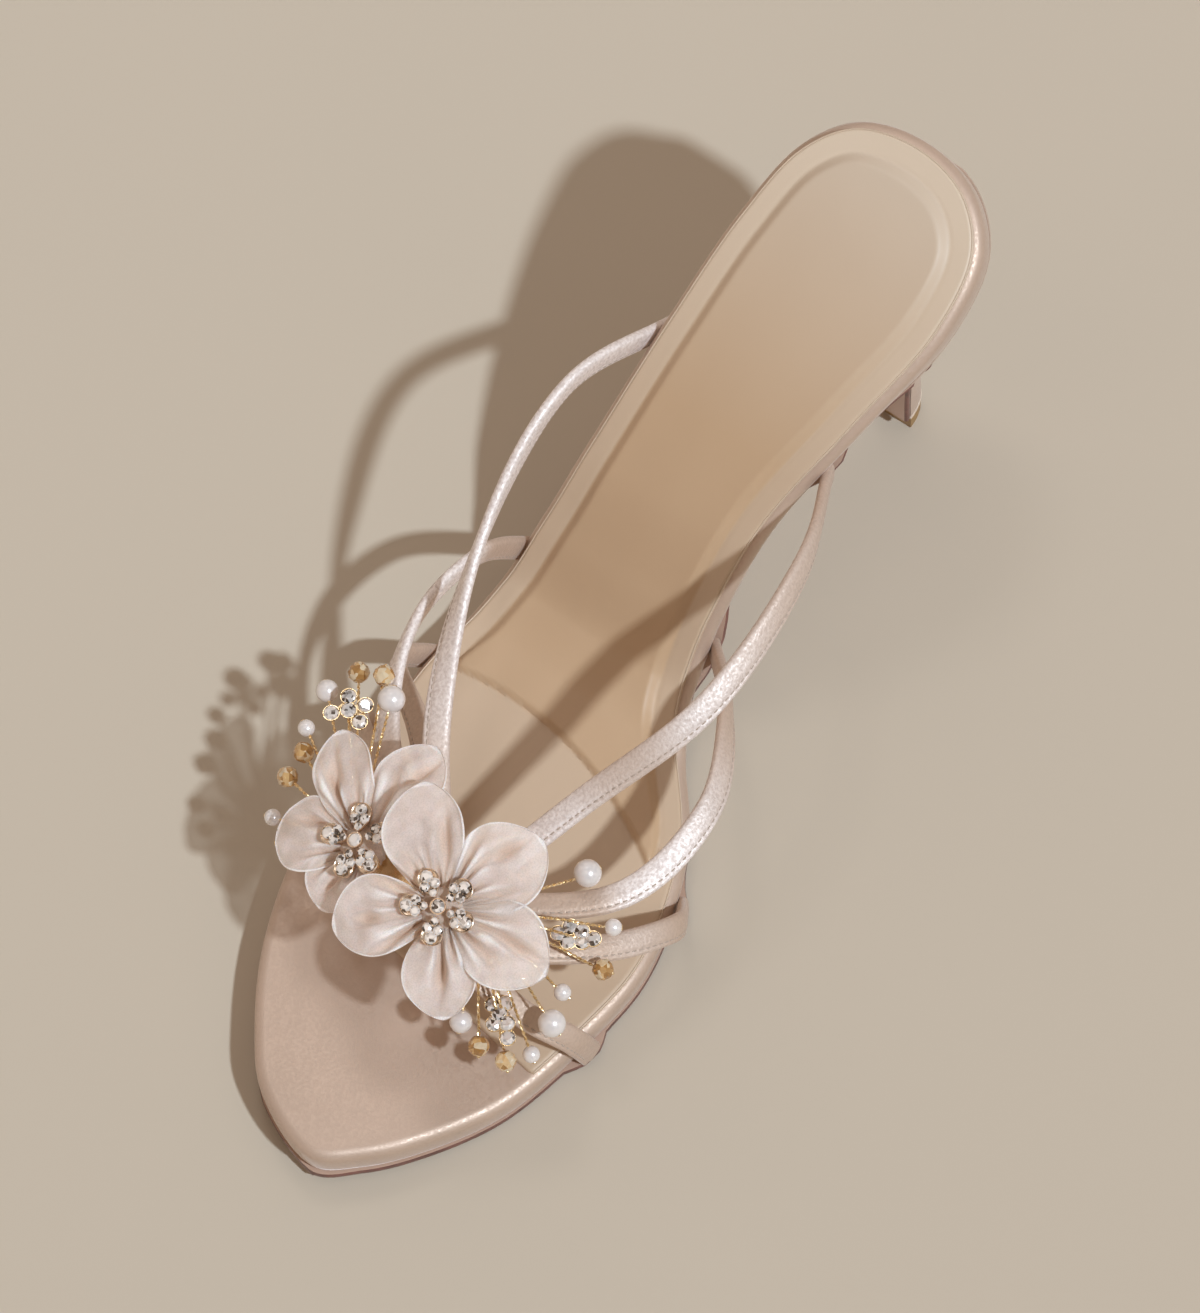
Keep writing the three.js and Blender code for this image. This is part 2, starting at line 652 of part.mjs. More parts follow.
function petal(length, width) {
  const sections = [];
  const root = 0.08;
  for (let i = 0; i <= PETAL_STEPS; i += 1) {
    const t = root + (1 - root) * (i / PETAL_STEPS);
    const open = Math.sin(Math.PI * Math.min(t, 1) ** 1.35) ** 0.62;
    const half = (width / 2) * Math.max(open, 0.12);
    const puff = (PETAL_THICKNESS / 2) * Math.max(Math.sin(Math.PI * t), 0.2);
    const lift = 0.13 * length * Math.sin(Math.PI * t * 0.8) - 0.05 * length * t;
    const ring = [];
    for (let k = 0; k < 8; k += 1) {
      const angle = (k / 8) * 2 * Math.PI;
      const crease = 0.35 * puff * Math.max(Math.sin(angle), 0) ** 4;
      const edgeLift = 0.12 * half * Math.cos(angle) ** 2;
      ring.push(new THREE.Vector3(
        length * t,
        half * Math.cos(angle),
        lift + edgeLift + puff * Math.sin(angle) - crease,
      ));
    }
    sections.push(ring);
  }
  return sweepLoft(sections);
}

function flowerFrame(spec) {
  const frame = new THREE.Group();
  frame.position.copy(sprayPoint(spec.place));
  const [forward, outwards] = spec.tilt.map(THREE.MathUtils.degToRad);
  frame.rotation.set(outwards, forward, 0, "YXZ");
  frame.updateMatrix();
  return frame;
}

// Petals gathered into a knot that stands on the wires' plate
function flower(spec, frame) {
  const petals = spec.petals.map(([direction, length, width], i) => {
    const raised = 0.25 * (i % 2);
    return petal(length * SPRAY_SPAN, width * SPRAY_SPAN)
      .translate(0, 0, raised)
      .rotateZ(THREE.MathUtils.degToRad(direction));
  });
  const cup = new THREE.CylinderGeometry(KNOT_RADIUS * 0.8, KNOT_RADIUS, KNOT_TOP, 12)
    .rotateX(Math.PI / 2)
    .translate(0, 0, KNOT_TOP / 2);
  const foot = frame.position;
  const seat = patchHeight(foot.y, HUB_TOP + GAP) + KNOT_RADIUS * PATCH_SLOPE;
  const height = foot.z + KNOT_TOP / 2 - seat;
  const stem = new THREE.CylinderGeometry(KNOT_RADIUS * 0.7, KNOT_RADIUS * 0.8, height, 12)
    .rotateX(Math.PI / 2)
    .translate(foot.x, foot.y, seat + height / 2)
    .applyMatrix4(frame.matrix.clone().invert());
  return join([...petals, cup, stem]);
}

// Floret of teardrop settings around a round one
function floret(turn) {
  const [long, wide, tall] = TEARDROP.map((share) => share * SPRAY_SPAN);
  const settings = [new THREE.SphereGeometry(wide, 8, 4).scale(0.9, 0.9, tall / wide)];
  for (let i = 0; i < FLORET_PETALS; i += 1) {
    const setting = new THREE.SphereGeometry(long, 7, 3)
      .scale(1, wide / long, tall / long)
      .translate(FLORET_REACH * SPRAY_SPAN, 0, 0)
      .rotateZ(THREE.MathUtils.degToRad(turn + (i * 360) / FLORET_PETALS));
    settings.push(setting);
  }
  const plate = new THREE.CylinderGeometry(1, 1, tall * 0.5, 10)
    .rotateX(Math.PI / 2)
    .scale(FLORET_REACH * SPRAY_SPAN, FLORET_REACH * SPRAY_SPAN, 1);
  return join([...settings, plate]);
}

function sprayPoint(place) {
  return new THREE.Vector3().fromArray(place).multiplyScalar(SPRAY_SPAN).add(vampPoint);
}

// A wire from the plate at the ornament's middle to the surface of what it carries
function wireTo(target, stop, bow) {
  const reachOfPlate = (HUB_LENGTH - WIRE) / 2;
  const middleOfPlate = vampPoint.y + PATCH_SIDE * BALL_WIDTH;
  const side = THREE.MathUtils.clamp(
    target.y,
    middleOfPlate - reachOfPlate,
    middleOfPlate + reachOfPlate,
  );
  const start = new THREE.Vector3(vampPoint.x, side, patchHeight(side, HUB_TOP - HUB_THICKNESS / 2));
  const reach = target.clone().sub(start);
  const end = target.clone().addScaledVector(reach.clone().normalize(), -stop);
  const middle = start.clone().lerp(end, 0.5);
  middle.z += bow * reach.length();
  const curve = new THREE.CatmullRomCurve3([start, middle, end]);
  const shape = new THREE.Shape();
  shape.absarc(0, 0, WIRE / 2, 0, 2 * Math.PI);
  const options = { steps: WIRE_STEPS, curveSegments: 3, extrudePath: curve, bevelEnabled: false };
  return new THREE.ExtrudeGeometry(shape, options);
}

// Round stones in settings on a plate
function cluster(centre) {
  const stones = [];
  const around = 4;
  for (let i = 0; i <= around; i += 1) {
    const angle = (i / around) * 2 * Math.PI;
    const reach = i === around ? 0 : STONE * 0.9;
    stones.push(
      new THREE.SphereGeometry(STONE / 2, 6, 3)
        .scale(1, 1, 0.6)
        .translate(reach * Math.cos(angle), reach * Math.sin(angle), 0),
    );
  }
  const plate = new THREE.CylinderGeometry(STONE * 0.8, STONE * 0.8, STONE / 4, 8).rotateX(Math.PI / 2);
  return join([...stones, plate]).translate(centre.x, centre.y, centre.z);
}

function wireFrame() {
  const plate = patchPlate(HUB_LENGTH, HUB_WIDTH, HUB_THICKNESS);
  const pieces = [onVamp(plate, HUB_TOP - HUB_THICKNESS)];
  Object.entries(SPRAYS).forEach(([spray, rows]) => {
    rows.forEach(([kind, place]) => {
      const target = sprayPoint(place);
      const bow = SPRAY_BOW[spray];
      if (kind === "cluster") {
        pieces.push(cluster(target), wireTo(target, STONE / 2, bow));
        return;
      }
      const size = PEARL_SIZE[kind] ?? CRYSTAL_BEAD;
      pieces.push(wireTo(target, size / 2 + GAP, bow));
    });
  });
  return join(pieces);
}

function pearl(size) {
  return new THREE.SphereGeometry(size / 2, 8, 6);
}

function crystalBead() {
  const radius = CRYSTAL_BEAD / 2;
  const shape = [
    new THREE.Vector2(0, -radius * 0.85),
    new THREE.Vector2(radius * 0.5, -radius * 0.85),
    new THREE.Vector2(radius * 0.97, 0),
    new THREE.Vector2(radius * 0.5, radius * 0.85),
    new THREE.Vector2(0, radius * 0.85),
  ];
  return new THREE.LatheGeometry(shape, 8);
}

const shoe = new THREE.Group();
shoe.add(named("outsole", outsole(), SOLE));
shoe.add(named("footbed", footbed(), SATIN));
shoe.add(named("insole_sock", sock(), LINING));
shoe.add(named("heel", heel(), SATIN));
shoe.add(named("toplift", topLift(), RUBBER));
shoe.add(named("upper_straps", upper(), SATIN));
shoe.add(named("spray_wires", wireFrame(), GOLD));

FLOWERS.forEach((spec, i) => {
  const frame = flowerFrame(spec);
  frame.add(named(spec.name, flower(spec, frame), ORGANZA));
  const jewel = named(`${spec.name}_floret`, floret(FLORET_TURN[i]), GOLD);
  jewel.position.z = KNOT_TOP + GAP + TEARDROP[2] * SPRAY_SPAN;
  frame.add(jewel);
  shoe.add(frame);
});

Object.entries(SPRAYS).forEach(([spray, pieces]) => {
  let pearls = 0;
  let beads = 0;
  pieces.forEach(([kind, place]) => {
    if (kind === "cluster") return;
    const round = kind !== "bead";
    if (round) pearls += 1;
    else beads += 1;
    const name = round ? `${spray}_pearl_${pearls}` : `${spray}_bead_${beads}`;
    const mesh = named(name, round ? pearl(PEARL_SIZE[kind]) : crystalBead(), round ? PEARL : CRYSTAL);
    mesh.position.copy(sprayPoint(place));
    shoe.add(mesh);
  });
});

// The origin is on the floor under the middle of the ball's flat
shoe.position.set(-TREAD_STATION * LENGTH, 0, 0);

const model = new THREE.Group();
model.add(shoe);

export default model;
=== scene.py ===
"""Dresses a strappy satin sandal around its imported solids.

Sizes are in millimetres from the back of the heel: x to the toe, y to the inner side, z up.
"""

import math
import random

import bmesh
import bpy
import numpy as np
from mathutils import Matrix, Vector, noise


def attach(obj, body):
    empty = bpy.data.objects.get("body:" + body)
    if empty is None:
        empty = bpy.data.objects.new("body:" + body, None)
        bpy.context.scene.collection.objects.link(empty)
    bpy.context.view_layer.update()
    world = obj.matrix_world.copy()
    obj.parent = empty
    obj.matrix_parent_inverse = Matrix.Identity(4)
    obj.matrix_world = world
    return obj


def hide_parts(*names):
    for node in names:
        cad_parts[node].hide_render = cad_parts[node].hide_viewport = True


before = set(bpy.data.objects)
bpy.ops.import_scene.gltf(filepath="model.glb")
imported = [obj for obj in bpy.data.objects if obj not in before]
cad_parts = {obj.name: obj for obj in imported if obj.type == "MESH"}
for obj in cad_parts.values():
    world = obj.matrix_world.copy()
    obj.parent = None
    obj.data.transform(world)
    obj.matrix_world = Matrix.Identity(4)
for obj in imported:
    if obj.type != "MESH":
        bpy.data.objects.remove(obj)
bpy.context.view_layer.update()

# Driving sizes, the same as the solids have
MM = 0.001
LENGTH = 222
BALL_WIDTH = 76
HEEL_RISE = 78
OUTSOLE = 2
SHANK_SOLE = 1.3
BOARD = 8
SEAT_BOARD = 9.4
GAP = 0.3
EDGE_ROUND = 2.2
UNDER_ROUND = 0.6
UNDERCUT = 0.7
ARCH_UNDERCUT = 2.3
UNDERSIDE_INSET = 0.5
SIDE_SHARES = (1, 0.85, 0.66, 0.45, 0.22)
EDGE_ARC = 9
SOCK = 1.2
SOCK_INSET = 1.6
SOCK_BEVEL = 0.4
SOCK_ROWS = 280
SOCK_COLUMNS = 104
CUSHION = 1.4
CUSHION_BORDER = 4.3
CUSHION_SLOPE = 2.4
CUSHION_BLEND = 1.5
CUSHION_CROWN = 0.35
CROWN_SPAN = (2, 16)
FRONT_SPAN = (2, 12)  # behind the front line, where the pad's edge eases
FRONT_STEEPNESS = 0.45
GROOVE = (0.2, 0.09)  # depth at the front line and elsewhere
GROOVE_WIDTH = 0.4
SOCK_SINK = -0.1
SOCK_CORD = 0.16
STRAP_WIDTH = 6.6
STRAP_THICKNESS = 1.8
STRAP_PUFF = 0.3  # the padding swells either face of the band
STRAP_DRAW = 0.5  # and draws either edge in
STRAP_TUCK = 0.9
STRAP_DIP = 0.72
VAMP_RISE = 26
VAMP_STATION = 0.766
VAMP_SIDE = 0.04
PATCH_LENGTH = 32.6
PATCH_WIDTH = 12
PATCH_THICKNESS = 2.4
PATCH_SLOPE = 0.09
PATCH_SIDE = -0.09
PLATE_STEPS = 12
LIFT_HEIGHT = 6
# Top piece and the line over it: height and share of the heel's lowest section
LIFT_LEVELS = [(0, 0.88), (0.35, 0.94), (LIFT_HEIGHT * 0.6, 0.985), (LIFT_HEIGHT - 0.5, 1.0)]
LIFT_LINE_LEVELS = [(LIFT_HEIGHT - 0.55, 1.03), (LIFT_HEIGHT + 0.1, 1.035), (LIFT_HEIGHT + 0.15, 0.98)]
LIP = 0.8
SEAT_INSET = 1
SOLE_BEVEL = 0.5
SOLE_SWELL = 0.15
SOLE_SHOULDER = 0.22
SOLE_PROUD = 0.15
BULGE = 2.0
BULGE_REACH = 4.6
HUB_THICKNESS = 0.9
HUB_LENGTH = 32
HUB_WIDTH = 8.4
KNOT_RADIUS = 4.2
KNOT_TOP = 3.4
PETAL_THICKNESS = 2.6
SPRAY_SPAN = 50
TREAD_STATION = 0.69

# Height of the footbed above its ball: share of the length, share of the heel's rise
PROFILE = [
    (0, 1),
    (0.113, 0.844),
    (0.225, 0.664),
    (0.338, 0.411),
    (0.396, 0.214),
    (0.45, 0.05),
    (0.505, 0),
    (0.586, 0),
    (0.833, 0),
    (1, 0.033),
]

# Edge of the footbed: share of the length, outer and inner edge as shares of the ball's width
OUTLINE = [
    (0.014, -0.191, 0.17),
    (0.054, -0.295, 0.284),
    (0.126, -0.347, 0.308),
    (0.225, -0.376, 0.236),
    (0.338, -0.416, 0.137),
    (0.45, -0.487, 0.134),
    (0.563, -0.529, 0.371),
    (0.676, -0.503, 0.479),
    (0.766, -0.487, 0.463),
    (0.856, -0.4, 0.407),
    (0.928, -0.268, 0.293),
    (0.973, -0.145, 0.186),
]
SEAT_BACK_SIDE = -0.01
TOE_TIP_SIDE = 0.074
EDGE_STEPS = 10

# Heel below its seat: share of the seat's height and x share of the length at the back, the
# same two at the breast, and half its width as a share of the ball's width
HEEL_LEVELS = [
    (0.941, -0.003, 1.004, 0.133, 0.29),
    (0.878, 0.012, 0.982, 0.112, 0.237),
    (0.789, 0.025, 0.927, 0.099, 0.174),
    (0.694, 0.037, 0.836, 0.094, 0.129),
    (0.581, 0.046, 0.712, 0.0914, 0.1),
    (0.448, 0.052, 0.563, 0.09, 0.082),
    (0.316, 0.0554, 0.406, 0.0892, 0.07),
    (0.189, 0.0568, 0.248, 0.0892, 0.063),
]
HEEL_FRONT = 0.176
SEAT_BACK = 0.004
BREAST_START = 0.196
HEEL_SIDE = 0.055
LIFT_BACK = 0.0563
LIFT_FRONT = 0.0896
LIFT_HALF = 0.061
HEEL_SQUARENESS = 0.8
SEAT_BLEND = 0.3
HEEL_STEPS = 54
HEEL_ARC = 40

# Lining and padded middle: where they end at the front
SOCK_FRONT = 0.8
SOCK_FRONT_SKEW = 0.05
CUSHION_FRONT = 0.54
CUSHION_FRONT_SIDE = -0.26
CUSHION_FRONT_BOW = 0.19

# Straps: station of the foot end, side, then three waypoints on the way to the vamp
STRAPS = [
    (0.27, 1, (0.36, 0.336, 0.92), (0.509, 0.355, 1.86), (0.635, 0.191, 1.34)),
    (0.423, 1, (0.464, 0.3, 0.7), (0.557, 0.442, 0.97), (0.666, 0.395, 0.93)),
    (0.608, 1, (0.645, 0.501, 0.285), (0.709, 0.407, 0.62), (0.761, 0.228, 0.86)),
    (0.766, 1, (0.783, 0.46, 0.26), (0.799, 0.339, 0.62), (0.796, 0.187, 0.88)),
    (0.235, -1, (0.336, -0.462, 0.8), (0.483, -0.43, 1.66), (0.636, -0.264, 1.2)),
    (0.43, -1, (0.473, -0.497, 0.8), (0.562, -0.503, 1.01), (0.668, -0.366, 0.97)),
    (0.53, -1, (0.578, -0.55, 0.33), (0.632, -0.35, 0.72), (0.696, -0.142, 0.94)),
    (0.622, -1, (0.648, -0.52, 0.34), (0.684, -0.355, 0.7), (0.725, -0.146, 0.91)),
]
# How far a strap already faces up at its foot, and the stretch over which it turns flat, by side
STRAP_TURN = {1: (0.22, 0.1, 0.85), -1: (0.0, 0.3, 0.85)}
STRAP_SECTIONS = 72
STITCH_LINE = 1.7  # from the strap's middle
STITCH_PITCH = 1.55
STITCH_LONG = 1.05
STITCH_THICK = 0.38
STITCH_HEIGHTS = (0.84, -0.8904)  # from the band's middle plane
STRAP_AROUND = 44
CHANNEL = 0.26  # pressed in by the stitches
CHANNEL_WIDTH = 0.42
FOOT_DRAW = 0.8  # share of the undercut that a strap's foot follows

# Flowers: place from the vamp's middle as shares of the span, and tilt in degrees. A petal has
# its direction, length, half widths to the left and right, height above the root, and a deep
# fold: its distance from the root, direction and length.
FLOWERS = {
    "flower_large": {
        "place": (0.07, 0.056, 0.174),
        "tilt": (18, -3),
        "petals": [
            (222, 25.2, 9.4, 7.3, 0.9, (13.5, 209, 8)),
            (156, 24.0, 9.0, 9.4, 0.2, (17.0, 163, 7)),
            (90, 24.8, 9.6, 8.2, 0.7, (17.5, 96, 8)),
            (34, 22.0, 7.2, 7.9, 0.1, (12.5, 34, 8)),
            (312, 22.4, 7.6, 8.8, 0.4, (14.6, 311, 5)),
        ],
        "settings": (235, 158, 92, 20, 300),
    },
    "flower_small": {
        "place": (0.023, -0.371, 0.098),
        "tilt": (12, 13),
        "petals": [
            (228, 25.6, 6.6, 6.1, 0.8, (15.5, 236, 9)),
            (178, 24.6, 6.8, 9.0, 0.1, (18.0, 173, 7)),
            (289, 19.6, 8.2, 7.8, 0.3, (12.2, 276, 6)),
            (0, 15.0, 7.0, 7.0, 0.0, (9.0, 355, 5)),
        ],
        "settings": (206, 137, 65, 11, 285),
    },
}
PETAL_STEPS = 64
PETAL_AROUND = 120
PETAL_ROOT = 0.06  # share of the length
# Knot: height and share of its radius, above its foot
KNOT_LEVELS = [
    (KNOT_TOP, 0.25), (KNOT_TOP, 0.7), (KNOT_TOP - 0.5, 0.95), (KNOT_TOP * 0.5, 1.05), (0.2, 0.95),
    (-1.2, 0.72),
]
KNOT_FOOT = 0.74
KNOT_PLEATS = 14
KNOT_STEPS = 84
# Teardrop setting: half length, half width, height, and its levels: share of that outline, height
TEARDROP = (3.1, 2.35, 1.3)
TEARDROP_REACH = 4.9
TEARDROP_LEVELS = [
    (0.7, -TEARDROP[2]), (0.94, -0.7), (0.97, 0.0), (0.97, 0.36), (0.92, 0.45), (0.88, 0.36),
    (0.84, 0.3),
]
TEARDROP_STEPS = 28
# Stones of a teardrop setting: outwards, sideways, radius
TEARDROP_STONES = [(1.42, 0, 1.3), (-0.35, 1.12, 1.08), (-0.35, -1.12, 1.08), (-2.0, 0, 0.85)]
MIDDLE_STONE = 1.45
# Cut stones: radius and height of each eight corners, and whether they turn by half a step
BRILLIANT = [(0.56, 0.42, 0), (0.82, 0.27, 1)]
BEAD_CUT = [(0.5, -0.817, 0), (0.5, 0.817, 0), (0.86, -0.42, 1), (0.86, 0.42, 1), (1, 0, 0)]
PRONG = (0.15, 0.15, 0.2)

# Pearls, beads and stone clusters: kind and place from the vamp's middle as shares of the span
SPRAYS = {
    "rear": [
        ("pearl_medium", (-0.457, -0.93, 0.02)),
        ("pearl_large", (-0.536, -0.655, 0.15)),
        ("pearl_small", (-0.282, -0.903, 0.014)),
        ("pearl_small", (0.072, -0.817, -0.096)),
        ("pearl_small", (0.138, -0.712, -0.086)),
        ("bead", (-0.6, -0.88, 0.0)),
        ("bead", (-0.62, -0.76, 0.09)),
        ("bead", (-0.197, -0.855, -0.006)),
        ("bead", (-0.088, -0.858, -0.046)),
        ("cluster", (-0.409, -0.779, 0.114)),
    ],
    "inner": [
        ("pearl_large", (-0.404, 0.403, 0.073)),
        ("pearl_small", (-0.301, 0.597, -0.012)),
        ("bead", (-0.169, 0.635, -0.136)),
        ("cluster", (-0.202, 0.517, -0.04)),
    ],
    "front": [
        ("pearl_medium", (0.333, 0.308, -0.126)),
        ("pearl_small", (0.009, 0.569, -0.106)),
        ("pearl_large", (0.141, 0.614, -0.096)),
        ("pearl_small", (0.263, 0.595, -0.206)),
        ("bead", (0.357, 0.407, -0.196)),
        ("bead", (0.341, 0.526, -0.216)),
        ("cluster", (0.241, 0.456, -0.086)),
    ],
}
BEAD = 4.6
SIZES = {"pearl_large": 5.6, "pearl_medium": 4.6, "pearl_small": 3.5, "bead": BEAD}
SPRAY_BOW = {"rear": 0.02, "inner": 0.14, "front": 0.16}
# Stones of each cluster, across a level plane, and their height over its middle
CLUSTER_STONES = {
    "rear": [(-2.4, -1.6, 0.3), (2.4, -2.4, 0), (0.1, 0.3, 0.5), (-2.8, 2.2, 0), (0.8, 3.4, 0.2)],
    "inner": [
        (2, -4.4, 0.2), (2.3, -1.9, 0), (-0.4, -3.2, 0.4), (-0.9, -0.8, 0.5), (0.7, 0.4, 0),
        (-1, 1.9, 0.2),
    ],
    "front": [
        (-1.2, -3.7, 0.3), (-2.9, -1.9, 0), (-0.4, -1.4, 0.4), (1.8, -1.2, 0), (0.4, 1, 0.5),
        (2.7, 2.8, 0.2),
    ],
}
STONE_RADIUS = 1.6
WIRE_RADIUS = 0.18
TWIST_RADIUS = 0.17
TWIST_PITCH = 2.6
TWIST_STEPS = 9
WIRE_STOP = 1.5  # before the middle of a cluster
WIRE_SINK = 0.4  # into a pearl or bead

# Camera, in millimetres and degrees, and light: azimuth and elevation in degrees
CAMERA_PLACE = (562.3, 417.7, 1452.2)
CAMERA_AIM = (98.1, -14.1, 0)
CAMERA_ROLL = -7.48
CAMERA_LENS = 211.9
SUN_DIRECTION = (85.4, 51.9)
SUN_ENERGY = 2.56
SUN_SPREAD = 2.6
SUN_COLOUR = (0.76, 0.885, 1.0)
SPARKLE_DIRECTION = (223, 66)
SPARKLE_ENERGY = 1.5
SKY = [(0.42, (0.16, 0.125, 0.1)), (0.6, (1.0, 0.83, 0.7))]
SKY_STRENGTH = 0.82


def smooth_table(rows):
    """A smooth curve through a table that never overshoots its rows."""
    at = np.array([row[0] for row in rows], float)
    value = np.array([row[1] for row in rows], float)
    slope = np.diff(value) / np.diff(at)
    tangent = np.concatenate([[slope[0]], np.zeros(len(at) - 2), [slope[-1]]])
    for i in range(1, len(at) - 1):
        if slope[i - 1] * slope[i] > 0:
            tangent[i] = 2 * slope[i - 1] * slope[i] / (slope[i - 1] + slope[i])

    def evaluate(x):
        x = np.asarray(x, float)
        i = np.clip(np.searchsorted(at, x, side="right") - 1, 0, len(at) - 2)
        step = at[i + 1] - at[i]
        t = (x - at[i]) / step
        inside = np.clip(t, 0, 1)
        blend = inside**2 * (3 - 2 * inside)
        curved = (
            value[i] * (1 - blend)
            + value[i + 1] * blend
            + tangent[i] * step * inside * (1 - inside) ** 2
            - tangent[i + 1] * step * inside**2 * (1 - inside)
        )
        beyond = np.where(t < 0, tangent[i] * t, np.where(t > 1, tangent[i + 1] * (t - 1), 0))
        return curved + beyond * step

    return evaluate


profile = smooth_table(PROFILE)


def top_height(x):
    return OUTSOLE + GAP + BOARD + HEEL_RISE * profile(np.asarray(x) / LENGTH)


def board_thickness(x):
    return BOARD + (SEAT_BOARD - BOARD) * np.clip(profile(np.asarray(x) / LENGTH), 0, 1)


def on_footbed(x, y, rise):
    """Points above (or below) the footbed's top, measured square to it."""
    x, y, rise = np.broadcast_arrays(np.asarray(x, float), y, rise)
    step = LENGTH / 400
    slope = (top_height(x + step) - top_height(x - step)) / (2 * step)
    length = np.hypot(1, slope)
    return np.stack([x - rise * slope / length, y, top_height(x) + rise / length], axis=-1)


def curve(knots, count, closed=False, centripetal=True):
    """Points of a Catmull-Rom curve through knots, evenly spaced in its parameter."""
    knots = np.asarray(knots, float)
    total = len(knots)
    spans = total if closed else total - 1
    made = []
    for step in range(count + 1):
        at = spans * step / count
        i = min(int(at), spans - 1)
        w = at - i
        p1 = knots[i % total]
        p2 = knots[(i + 1) % total]
        p0 = knots[i - 1] if closed or i > 0 else 2 * knots[0] - knots[1]
        p3 = knots[(i + 2) % total] if closed or i + 2 < total else 2 * knots[-1] - knots[-2]
        if centripetal:
            pairs = ((p0, p1), (p1, p2), (p2, p3))
            d0, d1, d2 = (max(np.linalg.norm(b - a), 1e-8) ** 0.5 for a, b in pairs)
            t1 = ((p1 - p0) / d0 - (p2 - p0) / (d0 + d1) + (p2 - p1) / d1) * d1
            t2 = ((p2 - p1) / d1 - (p3 - p1) / (d1 + d2) + (p3 - p2) / d2) * d1
        else:
            t1 = (p2 - p0) / 2
            t2 = (p3 - p1) / 2
        made.append(
            p1
            + t1 * w
            + (3 * (p2 - p1) - 2 * t1 - t2) * w**2
            + (2 * (p1 - p2) + t1 + t2) * w**3
        )
    return np.array(made)


def distances(points):
    """How far along a line each of its points is."""
    return np.concatenate([[0], np.cumsum(np.linalg.norm(np.diff(points, axis=0), axis=1))])


def spaced(points, count):
    """The same curve with points at even distances."""
    gone = distances(points)
    at = np.linspace(0, gone[-1], count + 1)
    return np.stack([np.interp(at, gone, column) for column in points.T], axis=1)


def unit(vectors):
    return vectors / np.linalg.norm(vectors, axis=-1, keepdims=True)


def smoothstep(x, low, high):
    t = np.clip((x - low) / (high - low), 0, 1)
    return t * t * (3 - 2 * t)


def signed_power(x, power):
    """A power that keeps the sign, which squares off a round section."""
    return np.sign(x) * np.abs(x) ** power


def level(count, radius=1.0, z=0.0, start=0.0):
    """A level circle of points."""
    turn = start + np.arange(count) * 2 * math.pi / count
    return np.stack([radius * np.cos(turn), radius * np.sin(turn), np.full(count, z)], axis=1)


def outline_loop():
    outer = [(row[0] * LENGTH, row[1] * BALL_WIDTH, 0) for row in OUTLINE]
    inner = [(row[0] * LENGTH, row[2] * BALL_WIDTH, 0) for row in OUTLINE]
    back = (0, SEAT_BACK_SIDE * BALL_WIDTH, 0)
    tip = (LENGTH, TOE_TIP_SIDE * BALL_WIDTH, 0)
    knots = [back, *outer, tip, *reversed(inner)]
    return curve(knots, len(knots) * EDGE_STEPS, closed=True)[:-1]


EDGE = outline_loop()
TIP_INDEX = len(EDGE) // 2


def inset_loop(inset):
    along = unit(np.roll(EDGE, -1, axis=0) - np.roll(EDGE, 1, axis=0))
    inset = np.broadcast_to(inset, len(EDGE))[:, None]
    return EDGE[:, :2] + np.stack([-along[:, 1], along[:, 0]], axis=1) * inset


def half_edge(loop, side):
    """One side of a loop around the footbed, from the back of the heel to the tip of the toe."""
    if side < 0:
        return loop[: TIP_INDEX + 1]
    return np.concatenate([loop[TIP_INDEX:], loop[:1]])[::-1]


def edge_side(x, side):
    half = half_edge(EDGE, side)
    return np.interp(x, half[:, 0], half[:, 1])


vamp_point = np.array([
    VAMP_STATION * LENGTH,
    VAMP_SIDE * BALL_WIDTH,
    float(top_height(VAMP_STATION * LENGTH)) + VAMP_RISE,
])
HUB_TOP = PATCH_THICKNESS - STRAP_THICKNESS / 2 + GAP + HUB_THICKNESS


# Meshes

def to_row(points):
    """Millimetres from the back of the heel to metres in the row frame."""
    return (np.asarray(points, float).reshape(-1, 3) - (TREAD_STATION * LENGTH, 0, 0)) * MM


def placed(name, data):
    """A new object in the scene."""
    made = bpy.data.objects.new(name, data)
    bpy.context.scene.collection.objects.link(made)
    return made


class Shape:
    """Points and faces of one piece, gathered from several lofts."""

    def __init__(self, points=(), faces=(), shade=0.0):
        self.points = []
        self.faces = []
        self.slots = []
        self.shade = []
        self.add(points, faces, shade=shade)

    def add(self, points, faces, slot=0, shade=0.0):
        start = len(self.points)
        points = np.asarray(points, float).reshape(-1, 3)
        self.points.extend(points)
        self.faces.extend(tuple(start + i for i in face) for face in faces)
        self.slots.extend(slot if isinstance(slot, list) else [slot] * len(faces))
        self.shade.extend(np.broadcast_to(shade, len(points)))

    def piece(self, name, materials, slot=None, replaces=(), smooth=True, shaded=False, crease=None):
        mesh = bpy.data.meshes.new(name)
        mesh.from_pydata(to_row(self.points).tolist(), [], self.faces)
        for material in materials:
            mesh.materials.append(material)
        mesh.polygons.foreach_set("material_index", self.slots)
        edit = bmesh.new()
        edit.from_mesh(mesh)
        bmesh.ops.recalc_face_normals(edit, faces=edit.faces)
        if crease:
            for edge in edit.edges:
                paired = len(edge.link_faces) == 2
                edge.smooth = paired and edge.calc_face_angle() < math.radians(crease)
        edit.to_mesh(mesh)
        edit.free()
        mesh.polygons.foreach_set("use_smooth", [smooth] * len(mesh.polygons))
        if shaded:
            layer = mesh.attributes.new("shade", "FLOAT", "POINT")
            layer.data.foreach_set("value", np.array(self.shade, np.float32))
        made = placed(name, mesh)
        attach(made, "root")
        if replaces:
            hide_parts(*replaces)
        return made


